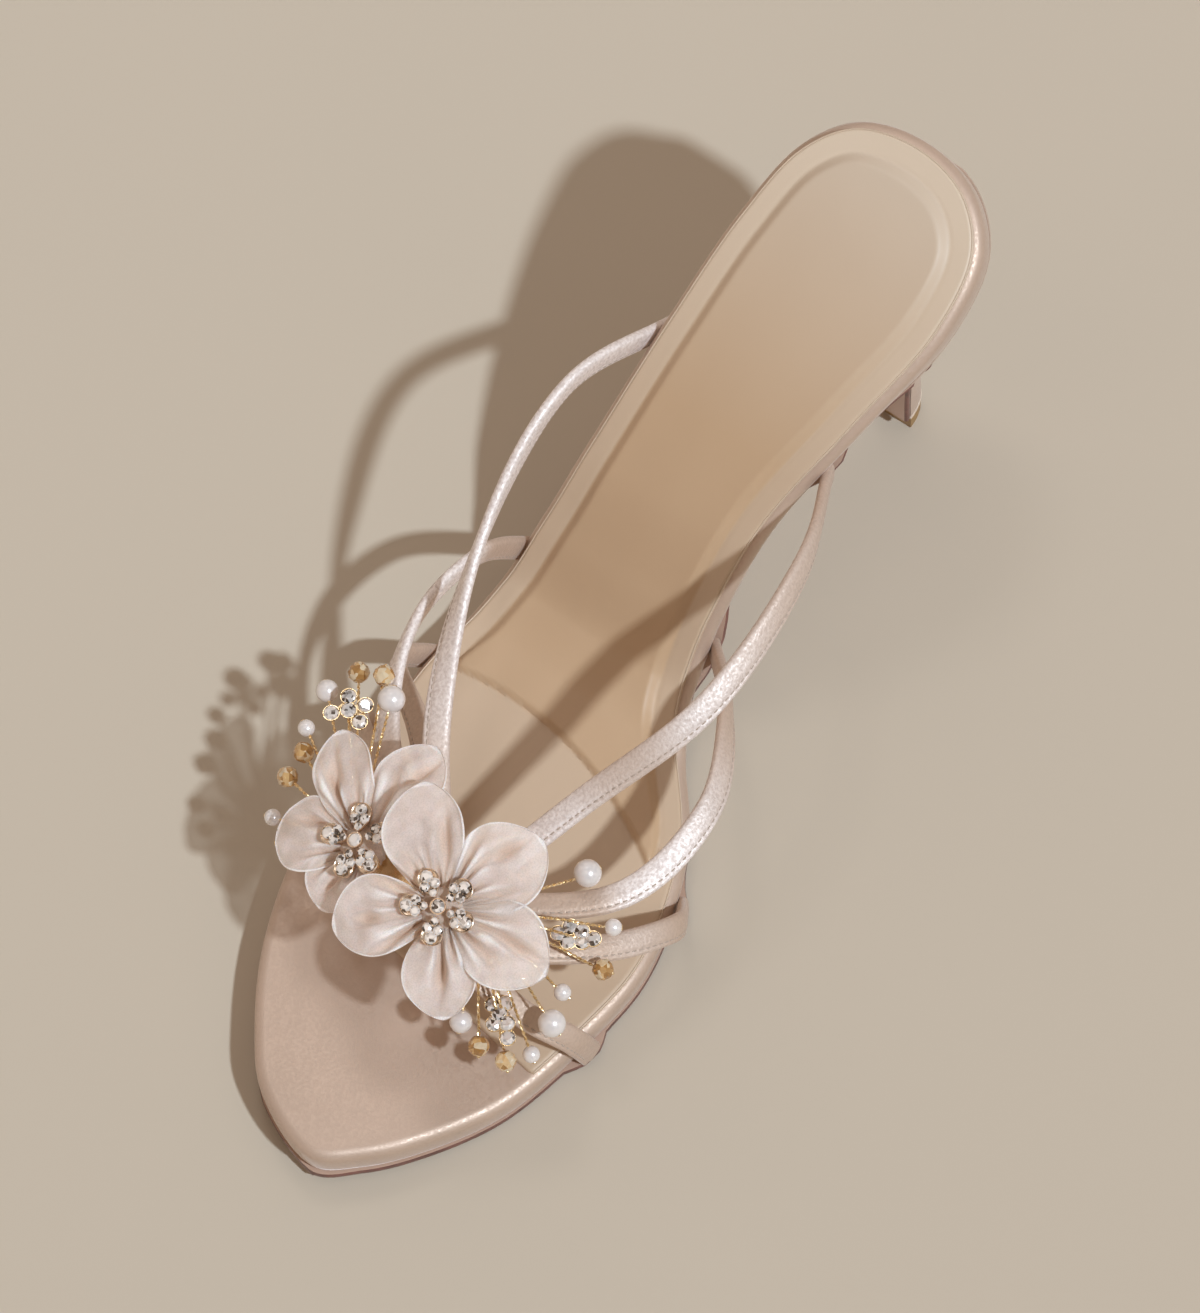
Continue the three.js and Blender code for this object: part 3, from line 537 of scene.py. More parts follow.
def loft(rings, cap=None):
    """Joins closed rings of equal length. Caps run across to the mirror point, or are one face."""
    count = len(rings[0])
    faces = []
    for r in range(len(rings) - 1):
        for i in range(count):
            a = r * count + i
            b = r * count + (i + 1) % count
            faces.append((a, b, b + count, a + count))
    for r in (0, len(rings) - 1):
        if cap == "across":
            for i in range(count // 2):
                corners = [i, i + 1, (count - i - 1) % count, (count - i) % count]
                faces.append(tuple(r * count + c for c in dict.fromkeys(corners)))
        elif cap == "flat":
            faces.append(tuple(range(r * count, (r + 1) * count)))
    return np.concatenate(rings), faces


def tangents(path):
    return unit(np.gradient(path, axis=0))


def frames_along(path):
    """Tangent and two steady square directions along a path."""
    along = tangents(path)
    across = np.zeros_like(along)
    first = np.cross(along[0], (0, 0, 1))
    if np.linalg.norm(first) < 1e-3:
        first = np.array([1.0, 0, 0])
    across[0] = unit(first)
    for i in range(1, len(path)):
        kept = across[i - 1] - along[i] * np.dot(across[i - 1], along[i])
        across[i] = unit(kept)
    return along, across, np.cross(across, along)


def tube(path, radius, sides=6):
    _, across, up = frames_along(path)
    turn = level(sides, radius)
    return loft(path[:, None] + turn[:, :1] * across[:, None] + turn[:, 1:2] * up[:, None], "flat")


def ball(centre, radii, sides=24, rings=14):
    tilt = np.arange(rings + 1)[:, None, None] * math.pi / rings
    return loft(centre + (level(sides) * np.sin(tilt) + (0, 0, 1) * np.cos(tilt)) * radii)


def hull(points):
    """Faces of the convex solid around a few points, as cut stones have them."""
    edit = bmesh.new()
    corners = [edit.verts.new(p) for p in points]
    bmesh.ops.convex_hull(edit, input=corners)
    bmesh.ops.dissolve_limit(edit, angle_limit=0.02, verts=edit.verts, edges=edit.edges)
    edit.verts.index_update()
    kept = [v for v in edit.verts if v.link_faces]
    order = {v.index: i for i, v in enumerate(kept)}
    faces = [tuple(order[v.index] for v in f.verts) for f in edit.faces]
    made = np.array([v.co[:] for v in kept])
    edit.free()
    return made, faces


# Materials

def shader(name, colour, roughness, **sockets):
    material = bpy.data.materials.new(name)
    material.use_nodes = True
    nodes = material.node_tree.nodes
    bsdf = nodes["Principled BSDF"]
    bsdf.inputs["Base Color"].default_value = (*colour, 1)
    bsdf.inputs["Roughness"].default_value = roughness
    for key, value in sockets.items():
        bsdf.inputs[key.replace("_", " ")].default_value = value
    return material


def node(material, kind, **inputs):
    made = material.node_tree.nodes.new(kind)
    for key, value in inputs.items():
        made.inputs[key.replace("_", " ")].default_value = value
    return made


def link(material, out, into):
    material.node_tree.links.new(out, into)


def place(material, space="Object"):
    """Where a point is, by default in the row frame's own metres."""
    return node(material, "ShaderNodeTexCoord").outputs[space]


def grain(material, scale, detail, space="Object"):
    made = node(material, "ShaderNodeTexNoise", Scale=scale, Detail=detail)
    link(material, place(material, space), made.inputs["Vector"])
    return made.outputs["Fac"]


def shaded(material):
    """What the piece's own shade attribute says."""
    shade = node(material, "ShaderNodeAttribute")
    shade.attribute_name = "shade"
    return shade.outputs["Fac"]


def mix(material, fac, first, second):
    mixed = node(material, "ShaderNodeMix")
    mixed.data_type = "RGBA"
    for out, into in ((fac, "Factor"), (first, 6), (second, 7)):
        link(material, out, mixed.inputs[into])
    return mixed.outputs[2]


def stops(material, fac, rows):
    """Colours at places of a grain, attribute or distance."""
    ramp = node(material, "ShaderNodeValToRGB")
    elements = ramp.color_ramp.elements
    elements[0].position = rows[0][0]
    elements[1].position = rows[-1][0]
    for position, _ in rows[1:-1]:
        elements.new(position)
    for element, (_, colour) in zip(elements, rows):
        element.color = (*colour, 1)
    link(material, fac, ramp.inputs["Fac"])
    return ramp.outputs["Color"]


def tint(material, fac, dark, light, low=0.3, high=0.7):
    """Colour from dark to light by a grain or attribute."""
    return stops(material, fac, [(low, dark), (high, light)])


def bump(material, height, strength, distance, onto=None):
    made = node(material, "ShaderNodeBump", Strength=strength, Distance=distance)
    link(material, height, made.inputs["Height"])
    if onto:
        link(material, onto, made.inputs["Normal"])
    return made.outputs["Normal"]


def paint(material, socket, source):
    link(material, source, material.node_tree.nodes["Principled BSDF"].inputs[socket])


def roughen(material, fac, dark, light, low=0.3, high=0.7):
    paint(material, "Roughness", tint(material, fac, (dark,) * 3, (light,) * 3, low, high))


def surface(name, colour, roughness, spots=None, relief=(), **sockets):
    """A shader with a grain from dark to light in its colour, and with layers of fine relief."""
    material = shader(name, colour, roughness, **sockets)
    if spots:
        scale, detail, dark, light = spots
        paint(material, "Base Color", tint(material, grain(material, scale, detail), dark, light))
    normal = None
    for scale, detail, strength, distance in relief:
        normal = bump(material, grain(material, scale, detail), strength, distance, normal)
    if normal:
        paint(material, "Normal", normal)
    return material


def satin(name, metallic, rough, weave, coat, sheen):
    """Shiny weave. Returns the material and the grain of its threads."""
    material = surface(
        name, SATIN_LIGHT, rough[1], (60, 3, SATIN_DARK, SATIN_LIGHT), Metallic=metallic,
        Specular_IOR_Level=0.7, Sheen_Weight=sheen, Sheen_Roughness=0.35,
        Sheen_Tint=(1.0, 0.95, 0.94, 1.0), Coat_Weight=coat, Coat_Roughness=0.42,
    )
    threads = grain(material, 1500, 3)
    roughen(material, threads, *rough, 0.38, 0.62)
    paint(material, "Normal", bump(material, threads, *weave))
    return material, threads


def strap_satin():
    """Painted sheen: the bands' base colour turns pale and silvery, glittering with the threads, where the
    shade attribute says they catch the light.
    """
    material, threads = satin("strap_satin", 0.28, (0.64, 0.46), (0.45, 0.0004), 0.0, 0.3)
    plain = tint(material, threads, SATIN_DARK, SATIN_LIGHT)
    painted_silver_sheen = tint(material, threads, (0.71, 0.61, 0.565), (0.94, 0.85, 0.81), 0.36, 0.64)
    paint(material, "Base Color", mix(material, shaded(material), plain, painted_silver_sheen))
    return material


SATIN_DARK = (0.56, 0.418, 0.325)
SATIN_LIGHT = (0.615, 0.46, 0.36)
SATIN = satin("satin", 0.4, (0.6, 0.42), (0.14, 0.0003), 0.2, 0.5)[0]
STRAP_SATIN = strap_satin()
THREAD = surface("thread", (0.46, 0.36, 0.29), 0.45, relief=[(3000, 1, 0.3, 0.0001)], Sheen_Weight=0.2)


def leather(name, spots=None):
    relief = [(1400, 3, 0.1, 0.00015), (70, 2, 0.15, 0.0012)]
    return surface(
        name, (0.65, 0.475, 0.34), 0.5, spots, relief, Specular_IOR_Level=0.5, Sheen_Weight=0.08,
    )


def insole():
    """Lining with a painted sheen that makes it paler at the back of the heel, and paler in its border all
    the way.
    """
    material = leather("insole_lining")
    split = node(material, "ShaderNodeSeparateXYZ")
    link(material, place(material), split.inputs["Vector"])
    # Painted sheen: the colour pales towards the back of the heel
    along = node(material, "ShaderNodeMapRange", From_Min=INSOLE_SHEEN_FADE[0], From_Max=INSOLE_SHEEN_FADE[1])
    link(material, split.outputs["X"], along.inputs["Value"])
    border, middle = (tint(material, along.outputs["Result"], *row, 0, 1) for row in INSOLE_TONES_AND_SHEEN)
    paint(material, "Base Color", mix(material, shaded(material), border, middle))
    return material


# Where the lining's tint changes, in metres, and from what to what in its border and middle: the paler
# heel colours are a painted sheen
INSOLE_SHEEN_FADE = (-0.145, -0.09)
INSOLE_TONES_AND_SHEEN = [
    ((0.68, 0.55, 0.42), (0.58, 0.43, 0.3)),
    ((0.61, 0.49, 0.375), (0.54, 0.365, 0.223)),
]
INSOLE = insole()
SOCK_EDGE = surface("sock_edge", (0.62, 0.49, 0.37), 0.45, relief=[(1500, 2, 0.2, 0.0001)])
SOLE_LEATHER = leather("sole_leather", (45, 4, (0.46, 0.3, 0.22), (0.56, 0.39, 0.3)))
EDGE_PAINT = surface(
    "edge_paint", (0.17, 0.06, 0.05), 0.4, (300, 3, (0.12, 0.045, 0.035), (0.22, 0.085, 0.065)),
    [(500, 3, 0.3, 0.0003)], Coat_Weight=0.2,
)
RUBBER = surface(
    "lift_rubber", (0.4, 0.22, 0.07), 0.45, (150, 4, (0.3, 0.16, 0.05), (0.47, 0.28, 0.1)),
    [(900, 3, 0.2, 0.0002)],
)
LIFT_LINE = shader("lift_line", (0.75, 0.62, 0.5), 0.5)


def organza():
    material = shader(
        "organza", (0.8, 0.7, 0.65), 0.5, Specular_IOR_Level=0.1, Sheen_Weight=0.14,
        Sheen_Roughness=0.5, Subsurface_Weight=0.4, Subsurface_Scale=0.0014,
        Subsurface_Radius=(1.0, 0.75, 0.6),
    )
    fold = shaded(material)
    threads = grain(material, 3200, 1)
    # Painted shade in the folds and gathers, from the petals' shade attribute
    paint(material, "Base Color", stops(material, fold, ORGANZA_SHADES))
    dense = stops(material, fold, [(at, (share,) * 3) for at, share in ORGANZA_DENSITY])
    woven = tint(material, threads, (0.86,) * 3, (1.0,) * 3, 0.36, 0.58)
    sheer = node(material, "ShaderNodeMath")
    sheer.operation = "MULTIPLY"
    link(material, dense, sheer.inputs[0])
    link(material, woven, sheer.inputs[1])
    paint(material, "Alpha", sheer.outputs["Value"])
    roughen(material, threads, 0.74, 0.5, 0.4, 0.7)
    paint(material, "Normal", bump(material, threads, 0.25, 0.00012))
    return material


# Cloth of the petals from the folded rim, over the sheer middle, to the deep gathers; the darker colours
# are painted shade in the folds and gathers, together with the denser gathered cloth

ORGANZA_SHADES = [
    (0.0, (0.98, 0.9, 0.86)),
    (0.12, (0.9, 0.79, 0.738)),
    (0.4, (0.84, 0.69, 0.59)),
    (1.0, (0.5, 0.315, 0.21)),
]
ORGANZA_DENSITY = [(0.0, 0.86), (0.08, 0.66), (0.18, 0.5), (0.45, 0.74), (1.0, 1.0)]
ORGANZA = organza()


def gold(name, colour):
    material = shader(name, colour, 0.22, Metallic=1.0)
    roughen(material, grain(material, 500, 2), 0.16, 0.32)
    return material


GOLD = gold("gold", (0.9, 0.7, 0.42))
PALE_GOLD = gold("pale_gold", (0.93, 0.75, 0.58))
PEARL = surface(
    "pearl", (0.8, 0.75, 0.73), 0.24, (120, 2, (0.82, 0.77, 0.755), (0.92, 0.86, 0.835)),
    Metallic=0.28, Specular_IOR_Level=0.7, Coat_Weight=1.0, Coat_Roughness=0.06, Sheen_Weight=0.1,
)


def cut_glass(name, roughness, glint_scale, rows, **sockets):
    """Painted reflections: the base colour runs from dark to bright in small cells, for the light and dark
    that each facet reflects.
    """
    material = shader(name, rows[-1][1], roughness, Coat_Weight=0.6, Coat_Roughness=0.03, **sockets)
    painted_glint_cells = node(material, "ShaderNodeTexVoronoi", Scale=glint_scale)
    link(material, place(material), painted_glint_cells.inputs["Vector"])
    paint(material, "Base Color", stops(material, painted_glint_cells.outputs["Color"], rows))
    return material


# Painted reflections of the clear stones and the amber beads, dark to bright from cell to cell
STONE_PAINTED_GLINTS = [(0.2, (0.12, 0.09, 0.07)), (0.33, (0.75, 0.7, 0.66)), (0.52, (1.0, 0.97, 0.95))]
STONE = cut_glass("clear_stone", 0.06, 1500, STONE_PAINTED_GLINTS, Metallic=0.6)
AMBER_PAINTED_GLINTS = [(0.3, (0.5, 0.26, 0.08)), (0.48, (0.95, 0.62, 0.28)), (0.7, (1.0, 0.86, 0.62))]
AMBER = cut_glass("amber_crystal", 0.04, 800, AMBER_PAINTED_GLINTS, Transmission_Weight=0.45)


# Footbed, lining and sole

def undercut(x):
    """How far the board's side draws in towards its underside, most under the arch."""
    share = np.asarray(x) / LENGTH
    arch = smoothstep(share, 0.12, 0.28) * (1 - smoothstep(share, 0.46, 0.6))
    return UNDERCUT + (ARCH_UNDERCUT - UNDERCUT) * arch


def footbed():
    thick = board_thickness(EDGE[:, 0])
    draw = undercut(EDGE[:, 0])
    rings = [side_ring(draw + UNDERSIDE_INSET, -thick)]
    for share in SIDE_SHARES:
        rise = (thick - EDGE_ROUND - UNDER_ROUND) * (1 - share) + UNDER_ROUND - thick
        rings.append(side_ring(draw * share**2, rise))
    for angle in np.linspace(0, math.pi / 2, EDGE_ARC + 1):
        rings.append(side_ring(EDGE_ROUND * (1 - math.cos(angle)), -EDGE_ROUND * (1 - math.sin(angle))))
    Shape(*loft(rings, "across")).piece("footbed_satin", [SATIN], "satin", ["footbed"], crease=50)


def side_ring(inset, rise):
    loop = inset_loop(inset)
    return on_footbed(loop[:, 0], loop[:, 1], rise)


def sock_front(side):
    return (SOCK_FRONT + SOCK_FRONT_SKEW * side) * LENGTH


def cushion_front(side):
    return (CUSHION_FRONT + CUSHION_FRONT_BOW * (side - CUSHION_FRONT_SIDE) ** 2) * LENGTH


def sock_side(side, inset):
    """One side of the lining's edge from the back of the heel to the front, at even distances."""
    rows = half_edge(inset_loop(inset), side)
    beyond = rows[:, 0] - sock_front(rows[:, 1] / BALL_WIDTH)
    last = int(np.argmax(beyond > 0))
    w = beyond[last - 1] / (beyond[last - 1] - beyond[last])
    end = rows[last - 1] * (1 - w) + rows[last] * w
    return spaced(np.concatenate([rows[:last], [end]]), SOCK_ROWS)


def cushion_depth(x, y):
    """How far a place lies inside the padded middle."""
    start = EDGE[:, :2]
    run = np.roll(start, -1, axis=0) - start
    away = np.stack([x, y], axis=-1)[:, None] - start[None]
    share = np.clip(np.sum(away * run, axis=-1) / np.sum(run * run, axis=-1), 0, 1)
    nearest = np.min(np.linalg.norm(away - share[..., None] * run, axis=-1), axis=1)
    edge = nearest - SOCK_INSET - CUSHION_BORDER
    front = cushion_front(y / BALL_WIDTH) - x
    near = np.clip(0.5 + (front - edge) / (2 * CUSHION_BLEND), 0, 1)
    return front * (1 - near) + edge * near - CUSHION_BLEND * near * (1 - near)


def sock_row(x, y):
    """Points across the lining's top, and how far each belongs to the padded middle."""
    depth = cushion_depth(x, y)
    inwards = smoothstep(cushion_front(y / BALL_WIDTH) - x, *FRONT_SPAN)
    steep = FRONT_STEEPNESS + (1 - FRONT_STEEPNESS) * inwards
    groove = GROOVE[0] + (GROOVE[1] - GROOVE[0]) * inwards
    rise = GAP + SOCK + CUSHION * smoothstep(depth / steep, 0, CUSHION_SLOPE)
    rise += CUSHION_CROWN * smoothstep(depth, *CROWN_SPAN)
    rise -= groove * np.exp(-((depth / GROOVE_WIDTH) ** 2))
    return on_footbed(x, y, rise), smoothstep(depth, -0.2, 0.4)


def sock():
    """The lining: a fine grid, a rim that rounds down to the footbed, and a plain underside."""
    columns = np.linspace(0, 1, SOCK_COLUMNS + 1)[:, None]
    outer, inner = (sock_side(side, SOCK_INSET + SOCK_BEVEL) for side in (-1, 1))
    rows = [sock_row(*(a + (b - a) * columns).T) for a, b in zip(outer, inner)]
    points = np.concatenate([row[0] for row in rows])
    start = len(points)
    grid = np.arange(start).reshape(SOCK_ROWS + 1, -1)
    corners = [grid[:-1, :-1], grid[1:, :-1], grid[1:, 1:], grid[:-1, 1:]]
    faces = np.stack(corners, axis=-1).reshape(-1, 4).tolist()
    rim = [*grid[:, 0], *grid[-1, 1:-1], *grid[:0:-1, -1]]
    edge_outer, edge_inner = (sock_side(side, SOCK_INSET) for side in (-1, 1))
    front = outer[-1] + (inner[-1] - outer[-1]) * columns[1:-1] + (SOCK_BEVEL, 0)
    brim = np.concatenate([edge_outer, front, edge_inner[:0:-1]])
    high, low = (on_footbed(*brim.T, rise) for rise in (GAP + SOCK - SOCK_BEVEL, SOCK_SINK))
    count = len(rim)
    for i in range(count):
        n = (i + 1) % count
        faces.append((rim[i], rim[n], start + n, start + i))
        faces.append((start + i, start + n, start + count + n, start + count + i))
    under = start + count
    far = SOCK_ROWS + SOCK_COLUMNS + SOCK_ROWS
    faces.append((under, under + 1, under + far - 1))
    for r in range(1, SOCK_ROWS - 1):
        faces.append((under + r, under + r + 1, under + far - r - 1, under + far - r))
    faces.append(tuple(under + i for i in range(SOCK_ROWS - 1, far - SOCK_ROWS + 2)))
    shade = np.concatenate([*(row[1] for row in rows), np.zeros(2 * count)])
    shape = Shape(np.concatenate([points, high, low]), faces, shade)
    made = shape.piece("insole_lining", [INSOLE], "lining", ["insole_sock"], shaded=True, crease=60)

    path = np.concatenate([edge_outer[::-1], edge_inner[1:]])
    line = on_footbed(*path.T, GAP + SOCK - SOCK_BEVEL * 0.7)
    Shape(*tube(line, SOCK_CORD)).piece("insole_edge", [SOCK_EDGE], "lining")


def heel_seat_depth(x):
    return board_thickness(x) + GAP


SEAT_BACK_POINT = on_footbed(SEAT_BACK * LENGTH, 0, -heel_seat_depth(0))
SEAT_FRONT_POINT = on_footbed(HEEL_FRONT * LENGTH, 0, -heel_seat_depth(HEEL_FRONT * LENGTH))
LIP_POINT = on_footbed(HEEL_FRONT * LENGTH, 0, -heel_seat_depth(HEEL_FRONT * LENGTH) - LIP)


def heel_curves():
    back = [SEAT_BACK_POINT]
    front = [LIP_POINT]
    half = [(edge_side(HEEL_FRONT * LENGTH, 1) - SEAT_INSET, 0, 0)]
    for back_z, back_x, front_z, front_x, width in HEEL_LEVELS:
        back.append((back_x * LENGTH, 0, back_z * SEAT_BACK_POINT[2]))
        front.append((front_x * LENGTH, 0, front_z * SEAT_FRONT_POINT[2]))
        half.append((width * BALL_WIDTH, 0, 0))
    back.append((LIFT_BACK * LENGTH, 0, LIFT_HEIGHT + GAP))
    front.append((LIFT_FRONT * LENGTH, 0, LIFT_HEIGHT + GAP))
    half.append((LIFT_HALF * BALL_WIDTH, 0, 0))
    return [curve(rows, HEEL_STEPS, centripetal=False) for rows in (back, front, half)]


HEEL_BACK, HEEL_BREAST, HEEL_HALF = heel_curves()
ARC = np.arange(HEEL_ARC + 1) / HEEL_ARC * math.pi


def seat_ring(extra):
    x = HEEL_FRONT * LENGTH + (SEAT_BACK - HEEL_FRONT) * LENGTH * np.sin(ARC)
    side = np.sign(-np.cos(ARC))
    y = np.where(side < 0, edge_side(x, -1), edge_side(x, 1)) - side * SEAT_INSET
    y[HEEL_ARC // 2] = SEAT_BACK_SIDE * BALL_WIDTH
    return on_footbed(x, y, -heel_seat_depth(x) - extra)


def level_ring(k):
    """Section of the heel at one of its steps. The highest ones blend into the seat."""
    front = HEEL_FRONT * LENGTH
    seat_side = (edge_side(front, 1) + edge_side(front, -1)) / 2
    foot_side = HEEL_SIDE * BALL_WIDTH
    middle = foot_side + (seat_side - foot_side) * (1 - k / HEEL_STEPS) ** 3
    across = middle - HEEL_HALF[k][0] * signed_power(np.cos(ARC), HEEL_SQUARENESS)
    ends = HEEL_BREAST[k] + (HEEL_BACK[k] - HEEL_BREAST[k]) * np.sin(ARC)[:, None]
    blend = max(1 - k / (HEEL_STEPS * SEAT_BLEND), 0) ** 2
    y = across + (seat_ring(LIP)[:, 1] - across) * blend
    return np.stack([ends[:, 0], y, ends[:, 2]], axis=1)


def heel():
    rings = [seat_ring(0), seat_ring(LIP)]
    rings += [level_ring(k) for k in range(1, HEEL_STEPS + 1)]
    Shape(*loft(rings, "across")).piece("heel_satin", [SATIN], "satin", ["heel"], crease=40)


def top_lift():
    """The top piece under the heel, and the thin line of board over it."""
    top = level_ring(HEEL_STEPS)
    middle = top.mean(axis=0)

    def layers(rows):
        rings = []
        for z, scale in rows:
            rings.append(middle + (top - middle) * scale)
            rings[-1][:, 2] = z
        return loft(rings, "across")

    Shape(*layers(LIFT_LEVELS)).piece("toplift_rubber", [RUBBER], "lift", ["toplift"], crease=40)
    Shape(*layers(LIFT_LINE_LEVELS)).piece("toplift_line", [LIFT_LINE], "sole", crease=40)


def strap_bulge(x, side):
    """The outsole's edge steps out around the end of each strap."""
    feet = [row[0] * LENGTH for row in STRAPS if row[1] == side]
    return max(BULGE * math.exp(-(((x - foot) / BULGE_REACH) ** 4)) for foot in feet)


def sole_section(upper, lower, outer, inner):
    """The edge swells at its middle height, and the underside has a bevel."""
    high, low = (np.array([point[0], 0, point[2]]) for point in (upper, lower))
    bevel = min(SOLE_BEVEL, (inner - outer) / 4)
    middle = (high + low) / 2
    shoulder = low + (high - low) * SOLE_SHOULDER
    rows = [
        (high, outer), (high, inner), (middle, inner + SOLE_SWELL), (shoulder, inner),
        (low, inner - bevel), (low, outer + bevel), (shoulder, outer), (middle, outer - SOLE_SWELL),
    ]
    return [(point[0], y, point[2]) for point, y in rows]


def outsole():
    """The sole from the toe to the heel, and on down the heel's breast."""
    sections = []
    first_flat = BREAST_START * LENGTH
    for i in range(TIP_INDEX, 0, -1):
        outer = EDGE[i]
        inner = EDGE[-i]
        if outer[0] < first_flat:
            break
        x = (outer[0] + inner[0]) / 2
        rise = -float(board_thickness(x)) - GAP
        thin = float(np.clip(profile(x / LENGTH) * 4, 0, 1)) if x < LENGTH / 2 else 0
        depth = OUTSOLE + (SHANK_SOLE - OUTSOLE) * thin
        draw = float(undercut(x)) - SOLE_PROUD
        sections.append(sole_section(
            on_footbed(x, 0, rise), on_footbed(x, 0, rise - depth),
            outer[1] - strap_bulge(x, -1) + draw, inner[1] + strap_bulge(x, 1) - draw,
        ))
    line = [on_footbed(first_flat, 0, -heel_seat_depth(first_flat)), *HEEL_BREAST, HEEL_BREAST[-1]]
    for k, here in enumerate(HEEL_BREAST):
        along = unit(line[k + 2] - line[k])
        ring = level_ring(k) if k else seat_ring(LIP)
        away = np.array([-along[2], 0, along[0]])
        upper = here + away * GAP
        lower = upper + away * SHANK_SOLE
        if k == HEEL_STEPS:
            lower[2] = upper[2]
        sections.append(sole_section(upper, lower, ring[0][1], ring[-1][1]))
    points, faces = loft(sections, "flat")
    plain = (0, 4)  # the top and the underside, where the other faces are painted
    painted = [0 if i % len(sections[0]) in plain else 1 for i in range(len(faces) - 2)]
    shape = Shape()
    shape.add(points, faces, painted + [1, 1])
    shape.piece("outsole_edged", [SOLE_LEATHER, EDGE_PAINT], "sole", ["outsole"], crease=30)


# Straps

def strap_line(row):
    """Centre line of a strap with its tangent, width direction and facing, at even distances."""
    station, side, *waypoints = row
    x = station * LENGTH
    probe = 0.02 * LENGTH
    run = edge_side(x + probe, side) - edge_side(x - probe, side)
    outward = unit(np.array([-run * side, 2 * probe * side, 0.0]))
    stand = 2 * GAP + STRAP_THICKNESS / 2 - FOOT_DRAW * float(undercut(x))
    foot = on_footbed(x, edge_side(x, side), STRAP_TUCK - float(board_thickness(x)))
    knots = [foot + outward * stand]
    for along, across, rise in waypoints:
        z = float(top_height(along * LENGTH)) + rise * VAMP_RISE
        knots.append(np.array([along * LENGTH, across * BALL_WIDTH, z]))
    knots.append(vamp_point - (0, 0, STRAP_THICKNESS / 2 + STRAP_DIP))
    path = spaced(curve(knots, 600), STRAP_SECTIONS)
    t = np.linspace(0, 1, len(path))[:, None]
    start, low, high = STRAP_TURN[side]
    turned = math.pi / 2 * (start + (1 - start) * smoothstep(t, low, high))
    facing = outward * np.cos(turned) + np.array([0, 0, 1]) * np.sin(turned)
    along = tangents(path)
    normal = unit(facing - along * np.sum(facing * along, axis=1, keepdims=True))
    return path, along, unit(np.cross(along, normal)), normal


def strap_profile(stitch_side):
    """A puffed band with round edges and a channel pressed in along its stitches."""
    turn = level(STRAP_AROUND)
    u = (STRAP_WIDTH / 2 - STRAP_DRAW) * signed_power(turn[:, 0], 0.62)
    v = (STRAP_THICKNESS / 2 + STRAP_PUFF) * signed_power(turn[:, 1], 0.8)
    channel = CHANNEL * np.exp(-(((u * stitch_side - STITCH_LINE) / CHANNEL_WIDTH) ** 2))
    return u[:, None], (v - channel * np.where(v > 0, 1, -0.6))[:, None]


def straps():
    bands = Shape()
    thread = Shape()
    for row in STRAPS:
        side = row[1]
        line = strap_line(row)
        path, along, across, normal = line
        u, v = strap_profile(-side)
        t = np.linspace(0, 1, len(path))
        # Painted sheen: share of silvery colour, most where a band runs along the shoe, and on the inner
        # side less near its foot
        painted_sheen_share = smoothstep(np.abs(along[:, 0]), 0.7, 0.92)
        if side > 0:
            painted_sheen_share = painted_sheen_share * (0.2 + 0.8 * smoothstep(t, 0.25, 0.6))
        rings = path[:, None] + across[:, None] * u + normal[:, None] * v
        bands.add(*loft(rings, "flat"), shade=np.repeat(painted_sheen_share, STRAP_AROUND))
        count = int(distances(path)[-1] / STITCH_PITCH)
        for k in range(2, count - 4):
            at = (k + 0.5) / count * STRAP_SECTIONS
            i = int(at)
            w = at - i
            p, a, u, n = (part[i] * (1 - w) + part[i + 1] * w for part in line)
            for height in STITCH_HEIGHTS:
                thread.add(*stitch(p - u * STITCH_LINE * side + n * height, a, u, n))
    bands.piece("straps_satin", [STRAP_SATIN], "satin", ["upper_straps"], shaded=True, crease=60)
    thread.piece("strap_stitches", [THREAD], "satin")


def stitch(centre, along, across, up):
    """One stitch: a short thread that dips in at both ends."""
    tilt = math.pi * (np.arange(5)[:, None, None] + 0.35) / 4.7
    round_it = level(6) @ np.stack([across, up, along])
    rings = centre + along * STITCH_LONG / 2 * np.cos(tilt)
    return loft(rings + STITCH_THICK / 2 * np.sin(tilt) ** 0.5 * round_it, "flat")


def plate_ring(length, width, z, inset):
    """Outline of a plate with round ends."""
    turn = np.linspace(0, math.pi, PLATE_STEPS + 1)
    half = np.stack([np.cos(turn), np.sin(turn)], axis=1) * (width / 2 - inset)
    half[:, 1] += (length - width) / 2
    return np.column_stack([np.concatenate([half, -half]), np.full(2 * len(half), z)])


def on_vamp(ring, above):
    """Lays a plate's ring on the vamp, which slopes down to the outer side."""
    side = vamp_point[1] + PATCH_SIDE * BALL_WIDTH
    lean = math.atan(PATCH_SLOPE)
    y = ring[:, 1] * math.cos(lean) - ring[:, 2] * math.sin(lean)
    z = ring[:, 1] * math.sin(lean) + ring[:, 2] * math.cos(lean)
    return np.stack([ring[:, 0] + vamp_point[0], y + side, z + patch_height(side, above)], axis=1)


def patch_height(y, above):
    return vamp_point[2] + (y - vamp_point[1]) * PATCH_SLOPE + above


def plate(length, width, thickness, above, rounding):
    steps = [(0.0, rounding), (rounding, 0.0), (thickness - rounding, 0.0), (thickness, rounding)]
    return loft([on_vamp(plate_ring(length, width, z, inset), above) for z, inset in steps], "flat")


def vamp():
    patch = plate(PATCH_LENGTH, PATCH_WIDTH, PATCH_THICKNESS, -STRAP_THICKNESS / 2, 0.5)
    Shape(*patch).piece("vamp_patch", [SATIN], "satin", crease=50)


# Flowers

def spray_point(place):
    return np.array(place) * SPRAY_SPAN + vamp_point


def turned(points, degrees, axis="Z"):
    return np.asarray(points) @ np.array(Matrix.Rotation(math.radians(degrees), 3, axis)).T


def on_flower(points, spec):
    """From a flower's own level frame to its place over the vamp."""
    forward, outwards = spec["tilt"]
    return turned(turned(points, outwards, "X"), forward, "Y") + spray_point(spec["place"])


